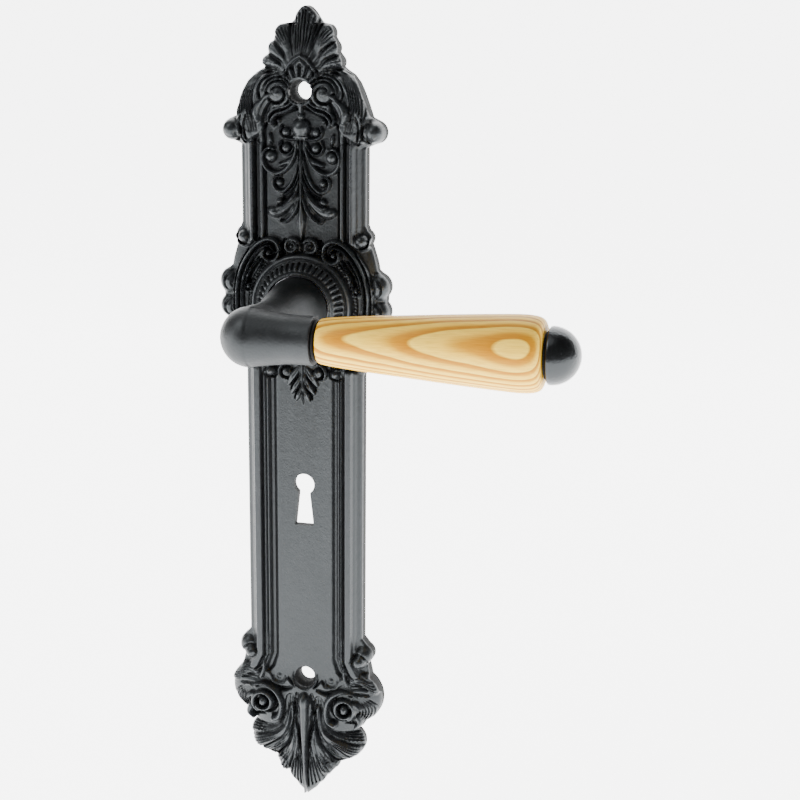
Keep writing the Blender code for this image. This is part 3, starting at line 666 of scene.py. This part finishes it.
def model_foot_volutes(relief):
    """The pair of volutes in the foot, with the curls above them and their hair-like veins."""
    eye = (17.3, -165.2)
    relief.knob(20.6, -161.0, (11.4, 11.6), 8.8, base=3.6, power=0.85, blend=0.6)
    relief.stroke([(20.4, -152.8), (25.2, -152.6), (29.2, -156.4)], [2.4, 3.6, 2.8], [9.2, 9.4, 8.4],
                  base=4, power=0.8, blend=0.6)
    relief.family([[(20.8, -151.6), (24.4, -151.0), (28.4, -153.0)],
                   [(20.4, -156.2), (25.6, -156.0), (31.0, -158.0)]],
                  5, 0.42, [0.3, 0.9, 0.8])
    relief.groove([(19.6, -158.6), (23.0, -158.4), (27.0, -158.7)], [0.8, 0.9, 0.6], [1.6, 1.4, 0.8])
    relief.family([[(20.6, -161.2), (22.8, -163.6), (23.3, -167.2), (21.0, -170.8), (17.0, -172.0)],
                   [(21.6, -159.2), (27.4, -160.8), (30.4, -164.8), (27.8, -170.6), (23.0, -173.2)]],
                  7, 0.42, [0.4, 1.1, 1.1, 1.0, 0.6])
    relief.stroke([(19.6, -162.0), (22.0, -162.6), (24.4, -164.6)], [0.7, 1.4, 0.4], 10.4, base=7)
    relief.stroke([(20.4, -166.2), (22.4, -168.0), (23.6, -170.8), (21.4, -173.2)],
                  [0.6, 1.6, 1.4, 0.6], 9.8, base=6)
    relief.stroke([(23.0, -159.4), (19.6, -158.0), (15.8, -158.0), (12.2, -160.0), (10.0, -163.4),
                   (9.4, -167.4), (10.4, -171.0), (12.9, -172.6)],
                  [0.6, 1.1, 1.3, 1.4, 1.4, 1.4, 1.5, 1.7], [9.0, 10.2, 10.6, 10.8, 10.8, 10.8, 11.0, 11.0])
    relief.groove(spiral(*eye, (5.7, 5.2), 130, 200), [0.4, 0.8, 0.8, 0.5], [1.0, 2.4, 2.4, 1.2])
    relief.stroke(spiral(*eye, (4.3, 3.3), -60, 380), 1.1, 11.0, base=7)
    relief.groove(spiral(*eye, (2.3, 2.6), 60, 300), 0.5, [0.8, 1.8, 1.6])
    relief.knob(*eye, (1.9, 2.4), 11.4, base=7.5)
    relief.knob(24.2, -142.6, (4.0, 4.4), 8.0, base=4.5, power=0.6)
    relief.knob(22.6, -145.0, 2.9, 9.4, base=5)
    relief.groove(arc(22.7, -144.9, 3.3, 170, -30, 18), [0.4, 0.55, 0.4], [0.5, 1.3, 0.6])
    relief.stroke([(16.9, -147.5), (17.0, -151.0), (18.2, -154.8)], [0.6, 1.1, 1.3], 9.4)


def model_foot_leaf(relief):
    """The pointed leaf: creases between its lobes, veins that sweep outwards and a middle rib."""
    relief.stroke([(5.2, -167.0), (8.6, -177.0), (17.6, -183.4)], [2.0, 4.6, 5.6], [9.4, 10.2, 8.6],
                  base=4.5, power=0.8, blend=0.8)
    relief.stroke([(3.4, -171.0), (4.6, -185.0), (8.6, -194.0)], [1.8, 3.4, 3.2], [9.4, 9.8, 7.8],
                  base=4.5, power=0.8, blend=0.8)
    keys = [[(2.9, -171.0), (1.5, -186.0), (0.9, -203.0)], [(3.4, -166.5), (4.2, -184.0), (8.4, -198.6)],
            [(4.3, -162.6), (6.0, -181.0), (14.0, -192.0)], [(5.2, -161.6), (7.6, -178.6), (20.6, -188.6)],
            [(6.2, -161.4), (9.6, -176.6), (24.8, -183.0)], [(7.4, -162.4), (11.6, -175.4), (24.0, -176.4)]]
    for key, depth in ((keys[1], 0.9), (keys[2], 1.4), (keys[3], 1.6), (keys[4], 1.3)):
        relief.groove(key, [0.3, 0.8, 0.9], [0.3, depth, depth])
    relief.family(keys, 26, [0.3, 0.38, 0.42, 0.42], [0.6, 1.0, 1.1, 1.0])
    relief.groove([(3.0, -161.0), (3.9, -166.0), (3.3, -173.0), (1.9, -182.0), (1.3, -194.0)],
                  [0.8, 1.2, 0.9, 0.6, 0.4], [1.4, 1.9, 1.5, 0.9, 0.5])
    relief.stroke([(0, -162.6), (0, -176.0), (0, -190.0), (0, -205.0)], [2.5, 2.1, 1.2, 0.7, 0.5],
                  [11.0, 10.9, 10.2, 9.4, 8.0], base=6, power=0.6)
    relief.knob(0, -164.0, (2.6, 4.4), 11.4, base=6)


SCREW_HOLES = (81.0, -153.6)
SHAFT_TOP, SHAFT_FOOT = -41, -134     # between these the plate has only its mouldings
FINE_ROW = 0.34
PLAIN_ROW = 3.0
HALF_COLUMNS = 111
MOST_TRIANGLES = 176000
CREST_TIP = 112
CREST_FALL = 3.4      # the crest thins towards its tip
CREST_LEAN = 0.9      # and was cast leaning a little to the right
LEAST_DEPTH = 1.0
EDGE_ROUND = 1.3


def relief_rows(outline):
    """Heights of the rows: close together where there is ornament, far apart on the shaft."""
    top, bottom = outline[0, 1], outline[-1, 1]
    fine_top = np.linspace(top, SHAFT_TOP, round((top - SHAFT_TOP) / FINE_ROW))
    plain = np.linspace(SHAFT_TOP, SHAFT_FOOT, round((SHAFT_TOP - SHAFT_FOOT) / PLAIN_ROW))[1:-1]
    fine_foot = np.linspace(SHAFT_FOOT, bottom, round((SHAFT_FOOT - bottom) / FINE_ROW))
    return np.concatenate([fine_top, plain, fine_foot])


def blurred(values, times, share=0.25):
    """Each height averaged with its neighbours along and across the rows."""
    for _ in range(times):
        for axis in (0, 1):
            padded = np.pad(values, [(1, 1) if a == axis else (0, 0) for a in (0, 1)], mode="edge")
            before, after = (padded[:-2], padded[2:]) if axis == 0 else (padded[:, :-2], padded[:, 2:])
            values = share * before + (1 - 2 * share) * values + share * after
    return values


def carve_relief():
    """All the plate's ornament as one field of heights over its right half."""
    outline = plate_outline()
    rows = relief_rows(outline)
    half_width = np.interp(-rows, -outline[:, 1], outline[:, 0])
    relief = Relief(rows, half_width, HALF_COLUMNS)
    inward = lay_ground(relief, outline)
    for model in (model_crest, model_hood, model_crest_volutes, model_ears, model_ribbons, model_arabesque,
                  model_side_leaves, model_scroll_frame, model_collar, model_twin_scrolls, model_leaf_spray,
                  model_field_end, model_foot_volutes, model_foot_leaf):
        model(relief)
    relief.height -= CREST_FALL * ease(relief.z, 92, CREST_TIP)
    relief.height = np.clip(blurred(relief.height, 1, 0.12), LEAST_DEPTH, COLLAR_DEPTH)
    from_edge = np.clip(inward / EDGE_ROUND, 0, 1)
    relief.height -= EDGE_ROUND * (1 - np.sqrt(1 - (1 - from_edge) ** 2))
    return relief


def both_halves(half):
    """The whole width from the right half: left edge first."""
    return np.concatenate([half[:, :0:-1], half], axis=1)


def keyhole_cutter():
    """A round bow over a slot that widens downwards."""
    bow = arc(0, -72.0, 4.2, -53.5, 233.5, 40)
    outline = bow + [(-2.5, -76.2), (-3.9, -89.0), (3.9, -89.0), (2.5, -76.2)]
    bm = bmesh.new()
    front, length = -20 * MM, 30 * MM
    verts = [bm.verts.new((x * MM, front, z * MM)) for x, z in outline]
    face = bm.faces.new(verts)
    out = bmesh.ops.extrude_face_region(bm, geom=[face])
    moved = [item for item in out["geom"] if isinstance(item, bmesh.types.BMVert)]
    bmesh.ops.translate(bm, verts=moved, vec=(0, length, 0))
    bmesh.ops.recalc_face_normals(bm, faces=bm.faces)
    return add_object("keyhole_cutter", bm)


def hollow(name, z, radii, depth):
    """A rounded hollow in the plate's back."""
    bm = bmesh.new()
    bmesh.ops.create_uvsphere(bm, u_segments=40, v_segments=20, radius=1)
    behind = 1.0      # the middle lies this far behind the door's face
    bmesh.ops.scale(bm, verts=bm.verts, vec=(radii[0] * MM, (depth + behind) * MM, radii[1] * MM))
    bmesh.ops.translate(bm, verts=bm.verts, vec=(0, behind * MM, z * MM))
    return add_object(name, bm)


def plate_cutters(materials):
    """The holes right through the plate, and the hollows that keep its wall even.

    What they cut takes the second of the materials.
    """
    room = [(0, 17), (12.7, 17), (12.7, 11.4), (10.3, 11.4), (10.3, 4.6), (10.6, 4.4), (12.0, 4.4),
            (12.2, 4.6), (12.2, 7.0), (12.5, 7.3), (17.8, 7.3), (18.2, 6.9), (18.2, -1), (0, -1)]
    cutters = [closed_bore("room", room, segments=96)]
    for number, z in enumerate(SCREW_HOLES):
        mouth = [(0, 14), (4.3, 14), (4.3, 5.6), (3.3, 4.2), (3.3, -1), (0, -1)]
        cutters.append(closed_bore(f"screw_hole_{number}", mouth, (0, z)))
    cutters.append(box_cutter("shaft_hollow", (-20.2, -3.2, -146), (20.2, 2, -12), 1.5))
    cutters.append(box_cutter("panel_hollow", (-20.2, -3.3, 12), (20.2, 2, 72), 1.5))
    cutters.append(hollow("crest_hollow", 98.5, (8.5, 8.2), 4.6))
    cutters.append(hollow("foot_hollow", -179, (12.5, 15.0), 2.6))
    cutters.append(keyhole_cutter())
    for cutter in cutters:
        for material in materials:
            cutter.data.materials.append(material)
        for face in cutter.data.polygons:
            face.material_index = 1
    return cutters


def make_cast_plate(material, wall_material):
    """The casting: a grid moved to the relief, walls pulled back to the door's face, holes cut."""
    relief = carve_relief()
    x = both_halves(relief.x)
    x[:, :HALF_COLUMNS - 1] *= -1
    z, height = both_halves(relief.z), both_halves(relief.height)
    x += CREST_LEAN * ease(z, 84, CREST_TIP)
    # painted shade and painted light: each point's height above or below its blurred surroundings, which the
    # iron's colour turns darker in hollows and lighter on raised parts
    relief_shade = height - both_halves(blurred(relief.height, 14))
    rows, columns = height.shape
    bm = bmesh.new()
    bmesh.ops.create_grid(bm, x_segments=columns - 1, y_segments=rows - 1, size=0.5)
    layer = bm.verts.layers.float.new("relief_shade")
    for vert in bm.verts:
        column = round((vert.co.x + 0.5) * (columns - 1))
        row = round((0.5 - vert.co.y) * (rows - 1))
        vert.co = (x[row, column] * MM, -height[row, column] * MM, z[row, column] * MM)
        vert[layer] = relief_shade[row, column]
    rim = [edge for edge in bm.edges if edge.is_boundary]
    for depth in (0.8, 0.0):
        out = bmesh.ops.extrude_edge_only(bm, edges=rim)
        for item in out["geom"]:
            if isinstance(item, bmesh.types.BMVert):
                item.co.y = -depth * MM
                item[layer] = 0
            elif isinstance(item, bmesh.types.BMFace):
                item.material_index = 1
        rim = [item for item in out["geom"] if isinstance(item, bmesh.types.BMEdge) and item.is_boundary]
    for face in bmesh.ops.contextual_create(bm, geom=rim)["faces"]:
        face.material_index = 1
    bmesh.ops.recalc_face_normals(bm, faces=bm.faces)
    plate = add_object("cast_plate", bm, angle=60)
    plate.data.materials.append(material)
    plate.data.materials.append(wall_material)
    triangles = 2 * (rows - 1) * (columns - 1)
    if triangles > MOST_TRIANGLES:
        thin = plate.modifiers.new("thin", "DECIMATE")
        thin.ratio = MOST_TRIANGLES / triangles
        apply_modifiers(plate)
    cut_with(plate, plate_cutters([material, wall_material]))
    while len(plate.data.materials) > 2:
        plate.data.materials.pop()
    plate.data.shade_smooth()
    plate.data.set_sharp_from_angle(angle=radians(50))
    flat = plate.modifiers.new("flat", "WEIGHTED_NORMAL")
    flat.keep_sharp = True
    apply_modifiers(plate)
    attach(plate, "plate")
    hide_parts("backplate")


# ================================================================= the lever

def half_ball(radius, tip, centre, steps=20):
    """From the pole at height `tip` to the widest ring at height `centre`."""
    angles = np.linspace(0, pi / 2, steps + 1)
    return [(radius * sin(a), tip + (centre - tip) * (1 - cos(a))) for a in angles]


ARM_END = NECK_HIGH[0]
BELL_BACK = 13.6
GRUB_DEPTH = 36.0


def neck_bmesh():
    """The neck from its bell by the collar to the middle of the elbow, turned round the spindle."""
    curve = smooth_path([(12.1, 15.0), (11.75, 17.0), (11.2, 22.0), (10.3, 29.5), (9.4, 35.0), (8.85, 40.0),
                         (8.8, 46.0), (9.1, 53.0), (9.9, 60.0), (10.2, ARM_DEPTH)], 1.2)
    profile = [(0, BELL_BACK), (11.7, BELL_BACK), (12.1, BELL_BACK + 0.4)] + [tuple(p) for p in curve]
    return turned_bmesh(profile + [(0, ARM_DEPTH)], segments=72)


def elbow_bmesh():
    """The ball of the elbow with the arm that leaves it, past a shallow crease, to the grip."""
    curve = smooth_path([(10.45, 1.5), (10.4, 2.4), (9.98, 5.0), (9.35, 9.5), (8.8, 14.0), (8.63, 18.0),
                         (8.63, ARM_END - 0.1)], 1.2)
    profile = half_ball(10.75, -10.15, 0.6) + [(10.7, 1.1)] + [tuple(p) for p in curve]
    return turned_bmesh(profile + [(8.6, ARM_END), (0, ARM_END)], along_arm=True, segments=72)


def dowel_hole(start, end):
    """The hole for the small dowel above the stud, between two places along the arm."""
    radius, above = 1.3, 5.4
    bm = turned_bmesh([(0, start), (radius, start), (radius, end), (0, end)], True, 24)
    bmesh.ops.translate(bm, verts=bm.verts, vec=(0, 0, above * MM))
    return add_object("dowel_hole", bm)


def make_lever_casting(material, wall_material):
    """The casting outside the plate: neck and elbow become one skin, softened where they meet."""
    neck = add_object("lever_casting", neck_bmesh())
    elbow = add_object("elbow", elbow_bmesh())
    union = neck.modifiers.new("union", "BOOLEAN")
    union.operation = "UNION"
    union.solver = "EXACT"
    union.object = elbow
    apply_modifiers(neck)
    bpy.data.objects.remove(elbow, do_unlink=True)
    skin = neck.modifiers.new("skin", "REMESH")
    skin.mode = "VOXEL"
    skin.voxel_size = 0.38 * MM
    apply_modifiers(neck)
    bm = bmesh.new()
    bm.from_mesh(neck.data)
    for times, chosen in ((14, near_elbow), (2, short_of_arm_end)):
        verts = [vert for vert in bm.verts if chosen(vert.co)]
        for _ in range(times):
            bmesh.ops.smooth_vert(bm, verts=verts, factor=0.5, use_axis_x=True, use_axis_y=True,
                                  use_axis_z=True)
    bm.to_mesh(neck.data)
    bm.free()
    grub_hole = [(0, 3), (2.8, 3), (2.8, 14), (0, 14)]
    spindle_hole = box_cutter("spindle_hole", (-4.3, -48.3, -4.3), (4.3, 0, 4.3))
    stud_hole = add_object("stud_hole", turned_bmesh([(0, 11.5), (3.3, 11.5), (3.3, 30), (0, 30)], True, 32))
    grub = turned_bmesh(grub_hole, segments=32)
    bmesh.ops.rotate(grub, verts=grub.verts, cent=(0, 0, 0), matrix=Matrix.Rotation(radians(90), 3, "X"))
    bmesh.ops.translate(grub, verts=grub.verts, vec=(0, -GRUB_DEPTH * MM, 0))
    cut_with(neck, [spindle_hole, stud_hole, dowel_hole(19, 30), add_object("grub_hole", grub)])
    neck.data.shade_smooth()
    neck.data.set_sharp_from_angle(angle=radians(40))
    neck.data.materials.clear()
    neck.data.materials.append(material)
    neck.data.materials.append(wall_material)
    for face in neck.data.polygons:
        at_end = face.center.x > (ARM_END - 0.3) * MM and face.normal.x > 0.8
        face.material_index = 1 if at_end else 0
    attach(neck, "lever")
    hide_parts("lever_neck")


def near_elbow(place):
    """Whether a point of the casting lies where the neck runs into the arm."""
    depth, x, z = -place.y / MM, place.x / MM, place.z / MM
    if not 54 < depth < 66 or x > 16:
        return False
    around_arm = np.hypot(depth - ARM_DEPTH, z)
    around_neck = np.hypot(x, z)
    return around_arm < 13.5 and around_neck > 8 and (x > -4 or depth < 62)


def short_of_arm_end(place):
    """Whether a point of the casting is clear of the arm's sharp end."""
    return place.x < (ARM_END - 1.5) * MM


def make_lever_journal(material):
    """The turned end behind the bell: it runs in the bush and carries the drive plate on its flats."""
    profile = [(0, 0.3), (7.7, 0.3), (8.0, 0.6), (8.0, BELL_BACK - 0.02), (0, BELL_BACK - 0.02)]
    journal = add_object("lever_journal", turned_bmesh(profile, segments=72))
    groove = turned_bmesh([(7.0, 0.7), (12, 0.7), (12, 1.8), (7.0, 1.8), (7.0, 0.7)], segments=72)
    cutters = [add_object("ring_groove", groove),
               box_cutter("spindle_hole", (-4.3, -14, -4.3), (4.3, 1, 4.3)),
               box_cutter("upper_flat", (-12, -3.5, 6.3), (12, 1, 12)),
               box_cutter("lower_flat", (-12, -3.5, -12), (12, 1, -6.3))]
    cut_with(journal, cutters)
    journal.data.materials.append(material)
    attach(journal, "lever")


def make_turned_piece(name, profile, node, material, body="lever", segments=96):
    """A piece turned round the arm, which stands for a CAD node."""
    piece = add_object(name, turned_bmesh(profile, True, segments))
    piece.data.materials.append(material)
    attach(piece, body)
    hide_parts(node)
    return piece


def make_grip(material):
    """The turned wooden grip, thickest near its outer end, with softly rounded ends."""
    start, end = GRIP_LOW[0] + 0.4, GRIP_HIGH[0]
    curve = smooth_path([(7.55, start + 0.12), (7.9, start + 0.9), (8.5, 30.5), (9.5, 41.0), (10.5, 54.0),
                         (11.8, 71.0), (12.8, 86.0), (13.28, 95.5), (13.15, 99.8), (12.65, 102.3),
                         (11.7, 103.7), (10.3, end - 0.05)], 0.9)
    profile = [(3.3, start), (7.3, start)] + [tuple(p) for p in curve]
    profile += [(9.9, end), (3.3, end), (3.3, start)]
    grip = make_turned_piece("turned_grip", profile, "wood_grip", material, segments=128)
    cut_with(grip, [dowel_hole(20, 30.3)])
    grip.data.materials.clear()
    grip.data.materials.append(material)


def make_knob(material):
    """The half-round cap nut, with a small step where it meets its washer."""
    start, end = KNOB_LOW[0], KNOB_HIGH[0]
    ball = [(r, end - (end - start - 0.9) * (1 - cos(a))) for r, a in
            ((10.0 * sin(a), a) for a in np.linspace(0, pi / 2, 28))]
    profile = ball + [(9.85, start + 0.35), (9.4, start), (3.3, start), (3.3, 112.3), (0, 112.3)]
    make_turned_piece("cap_knob", profile, "end_knob", material)


def make_washers(material):
    """The two thin washers that close the grip's ends."""
    for name, node in (("inner_washer", "grip_washer"), ("outer_washer", "cap_washer")):
        low, high = [[side / MM for side in corner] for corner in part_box(node)]
        outer, edge = high[2], 0.2
        profile = [(3.3, low[0]), (outer - edge, low[0]), (outer, low[0] + edge), (outer, high[0] - edge),
                   (outer - edge, high[0]), (3.3, high[0]), (3.3, low[0])]
        washer = make_turned_piece(name, profile, node, material, segments=72)
        if node == "grip_washer":
            cut_with(washer, [dowel_hole(20, 30)])


# ================================================================= the drive behind the plate

def make_spring(material):
    """The return spring: a close coil of round wire whose legs bear on the two pins."""
    coil_r, wire_r, front, back = 14.2, 0.6, 6.4, 4.2
    off_pin, pin_ring, anchor_angle = 2.15, 16.4, 243.0
    beside_pin = degrees_at(off_pin, pin_ring)
    start, end = anchor_angle + beside_pin, -beside_pin
    turning = end - start - 360
    steps = 150
    route = []
    for step in range(steps + 1):
        share = step / steps
        angle = radians(start + share * turning)
        route.append((coil_r * cos(angle), -(front + share * (back - front)), coil_r * sin(angle)))
    reach = 17.0
    route.insert(0, (reach * cos(radians(start)), -front, reach * sin(radians(start))))
    route.append((reach * cos(radians(end)), -back, reach * sin(radians(end))))
    curve = bpy.data.curves.new("torsion_spring", "CURVE")
    curve.dimensions = "3D"
    curve.bevel_depth = wire_r * MM
    curve.bevel_resolution = 4
    curve.use_fill_caps = True
    spline = curve.splines.new("POLY")
    spline.points.add(len(route) - 1)
    for point, place in zip(spline.points, route):
        point.co = (*(side * MM for side in place), 1)
    shape = bpy.data.objects.new("spring_route", curve)
    bpy.context.scene.collection.objects.link(shape)
    mesh = bpy.data.meshes.new_from_object(shape.evaluated_get(bpy.context.evaluated_depsgraph_get()))
    bpy.data.objects.remove(shape, do_unlink=True)
    bm = bmesh.new()
    bm.from_mesh(mesh)
    bmesh.ops.remove_doubles(bm, verts=bm.verts, dist=0.000002)
    spring = add_object("torsion_spring", bm, angle=50)
    spring.data.materials.clear()
    spring.data.materials.append(material)
    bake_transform(spring)
    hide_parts("return_spring")


def degrees_at(distance, radius):
    """The angle that a length makes round a circle."""
    return distance / radius * 180 / pi


# ================================================================= materials

def cast_iron():
    """Sand-cast iron under thin matt black paint: a fine sandy grain, with painted shade darkening the
    hollows and painted light on the raised parts.
    """
    material, tree, shader = new_material("painted_sand_cast_iron", "#131415", 0.4,
                                          Specular_IOR_Level=0.43, Specular_Tint=(0.9, 0.965, 1.0, 1))
    place = add_node(tree, "TexCoord").outputs["Object"]
    relief_shade = add_node(tree, "Attribute", attribute_name="relief_shade").outputs["Fac"]
    patches = add_node(tree, "TexNoise", [("Vector", place)], Scale=70, Detail=3).outputs["Fac"]
    shade = add_node(tree, "MapRange", [("Value", relief_shade)], From_Min=-1.5, From_Max=1.2)
    mix = add_node(tree, "Math", [(0, patches)], operation="MULTIPLY_ADD")
    mix.inputs[1].default_value = 0.22
    tree.links.new(shade.outputs["Result"], mix.inputs[2])
    # painted shade and painted light: the ramp darkens the iron in the relief's hollows and lightens it where
    # the relief stands proud, mixed with random patches
    colour = ramp_of(tree, mix.outputs["Value"], [(0.2, "#060606"), (0.6, "#0F1011"), (1.0, "#242628")])
    tree.links.new(colour, shader.inputs["Base Color"])
    sand = add_node(tree, "TexNoise", [("Vector", place)], Scale=1500, Detail=2)   # sand grains of 0.6 mm
    skin = add_node(tree, "TexNoise", [("Vector", place)], Scale=330, Detail=2)    # soft unevenness, 3 mm
    grain = add_node(tree, "MapRange", [("Value", sand.outputs["Fac"])], From_Min=0.3, From_Max=0.7,
                     To_Min=-0.05, To_Max=0.06)
    worn = add_node(tree, "MapRange", [("Value", mix.outputs["Value"])], From_Min=0.1, From_Max=0.9,
                    To_Min=0.5, To_Max=0.3)      # rubbed smoother where it stands proud
    rough = add_node(tree, "Math", [(0, grain.outputs["Result"]), (1, worn.outputs["Result"])])
    tree.links.new(rough.outputs["Value"], shader.inputs["Roughness"])
    coarse = add_node(tree, "Bump", [("Height", skin.outputs["Fac"])], Strength=0.5, Distance=0.00022)
    fine = add_node(tree, "Bump", [("Height", sand.outputs["Fac"]), ("Normal", coarse.outputs["Normal"])],
                    Strength=0.6, Distance=0.00014)
    tree.links.new(fine.outputs["Normal"], shader.inputs["Normal"])
    return material


def fettled_iron():
    """Cast edges dressed with a coarse wheel and painted thinly: dull, with hardly any gloss."""
    material, tree, shader = new_material("fettled_iron_edge", "#151617", 0.75, Specular_IOR_Level=0.22)
    place = add_node(tree, "TexCoord").outputs["Object"]
    marks = add_node(tree, "TexNoise", [("Vector", place)], Scale=700, Detail=3)
    colour = ramp_of(tree, marks.outputs["Fac"], [(0.3, "#090A0A"), (0.7, "#1A1B1D")])
    tree.links.new(colour, shader.inputs["Base Color"])
    bump = add_node(tree, "Bump", [("Height", marks.outputs["Fac"])], Strength=0.6, Distance=0.00018)
    tree.links.new(bump.outputs["Normal"], shader.inputs["Normal"])
    return material


def smooth_iron(name, smoothest, roughest):
    """The same paint over iron that was linished or turned smooth, with its own range of roughness."""
    material, tree, shader = new_material(name, "#0F1011", smoothest,
                                          Specular_Tint=(0.9, 0.965, 1.0, 1))
    place = add_node(tree, "TexCoord").outputs["Object"]
    sand = add_node(tree, "TexNoise", [("Vector", place)], Scale=1200, Detail=2)
    patches = add_node(tree, "TexNoise", [("Vector", place)], Scale=160, Detail=3)
    colour = ramp_of(tree, patches.outputs["Fac"], [(0.3, "#080809"), (0.7, "#101112")])
    tree.links.new(colour, shader.inputs["Base Color"])
    rough = add_node(tree, "MapRange", [("Value", patches.outputs["Fac"])], From_Min=0.3, From_Max=0.7,
                     To_Min=smoothest, To_Max=roughest)
    tree.links.new(rough.outputs["Result"], shader.inputs["Roughness"])
    bump = add_node(tree, "Bump", [("Height", sand.outputs["Fac"])], Strength=0.6, Distance=0.00014)
    tree.links.new(bump.outputs["Normal"], shader.inputs["Normal"])
    return material


def lacquered_ash():
    """Clear-lacquered ash cut along its growth: cream early wood between broad tan flames."""
    material, tree, shader = new_material("lacquered_ash", "#EBD9A9", 0.45, Coat_Weight=0.04,
                                          Coat_Roughness=0.25, Specular_IOR_Level=0.14)
    place = add_node(tree, "TexCoord").outputs["Object"]
    turned = add_node(tree, "Mapping", [("Vector", place)], vector_type="POINT")
    turned.inputs["Location"].default_value = (0, ARM_DEPTH * MM, 0)
    wobble = add_node(tree, "TexNoise", [("Vector", turned.outputs["Vector"])], Scale=45, Detail=2)
    towards = add_node(tree, "VectorMath", [(0, turned.outputs["Vector"])], operation="DOT_PRODUCT")
    towards.inputs[1].default_value = (0.004, -0.94, 0.33)
    ring = 1.95 * MM      # a year's growth
    bend = add_node(tree, "Math", [(0, wobble.outputs["Fac"])], operation="MULTIPLY_ADD")
    bend.inputs[1].default_value = 0.9 * MM
    tree.links.new(towards.outputs["Value"], bend.inputs[2])
    years = add_node(tree, "Math", [(0, bend.outputs["Value"])], operation="MULTIPLY_ADD")
    years.inputs[1].default_value = 1 / ring
    years.inputs[2].default_value = 30.0 - 11.8 * MM / ring
    year = add_node(tree, "Math", [(0, years.outputs["Value"])], operation="FRACT")
    growth = [(0.0, "#FFD854"), (0.4, "#F9CA45"), (0.66, "#CE9018"), (0.93, "#BC7B0D"), (1.0, "#FBD04B")]
    bands = ramp_of(tree, year.outputs["Value"], growth)
    fibres = add_node(tree, "Mapping", [("Vector", place)], vector_type="POINT")
    fibres.inputs["Scale"].default_value = (0.05, 1, 1)
    pores = add_node(tree, "TexNoise", [("Vector", fibres.outputs["Vector"])], Scale=2200, Detail=3)
    streak = ramp_of(tree, pores.outputs["Fac"], [(0.25, "#CDAE70"), (0.6, "#FFFFFF")])
    mixed = add_node(tree, "MixRGB", [("Color1", bands), ("Color2", streak)], blend_type="MULTIPLY", Fac=0.45)
    tree.links.new(mixed.outputs["Color"], shader.inputs["Base Color"])
    bump = add_node(tree, "Bump", [("Height", pores.outputs["Fac"])], Strength=0.15, Distance=0.00005)
    tree.links.new(bump.outputs["Normal"], shader.inputs["Normal"])
    return material


def worked_metal(name, colour, roughness):
    """Turned or pressed metal, plated or oiled: clean, with a gloss that varies a little by wear."""
    material, tree, shader = new_material(name, colour, roughness, 1.0)
    place = add_node(tree, "TexCoord").outputs["Object"]
    wear = add_node(tree, "TexNoise", [("Vector", place)], Scale=420, Detail=4)
    rough = add_node(tree, "MapRange", [("Value", wear.outputs["Fac"])], From_Min=0.3, From_Max=0.7,
                     To_Min=roughness - 0.07, To_Max=roughness + 0.1)
    tree.links.new(rough.outputs["Result"], shader.inputs["Roughness"])
    bump = add_node(tree, "Bump", [("Height", wear.outputs["Fac"])], Strength=0.1, Distance=0.00004)
    tree.links.new(bump.outputs["Normal"], shader.inputs["Normal"])
    return material


def paint_node(node, material):
    """Gives a CAD node that stays in sight its finished material."""
    mesh = frame["nodes"][node].data
    mesh.materials.clear()
    mesh.materials.append(material)


# ================================================================= putting it together

aim_camera()
iron = cast_iron()
walls = fettled_iron()
make_cast_plate(iron, walls)
lever_iron = smooth_iron("painted_linished_iron", 0.42, 0.54)
make_lever_casting(lever_iron, walls)
make_lever_journal(lever_iron)
make_washers(walls)
make_grip(lacquered_ash())
make_knob(smooth_iron("painted_turned_iron", 0.2, 0.28))
spring_steel = worked_metal("oiled_spring_steel", "#5A5B5F", 0.35)
make_spring(spring_steel)
zinc = worked_metal("zinc_plated_steel", "#B9BBC0", 0.32)
bronze = worked_metal("oiled_bronze", "#6B5A3C", 0.45)
for node in ("neck_washer", "backing_washer", "stop_pin_lower", "stop_pin_upper", "spring_anchor_pin",
             "spindle", "grub_screw", "drive_plate", "drive_pin", "tang_stud", "grip_dowel"):
    paint_node(node, zinc)
paint_node("retaining_ring", spring_steel)
paint_node("guide_bush", bronze)

make_studio()
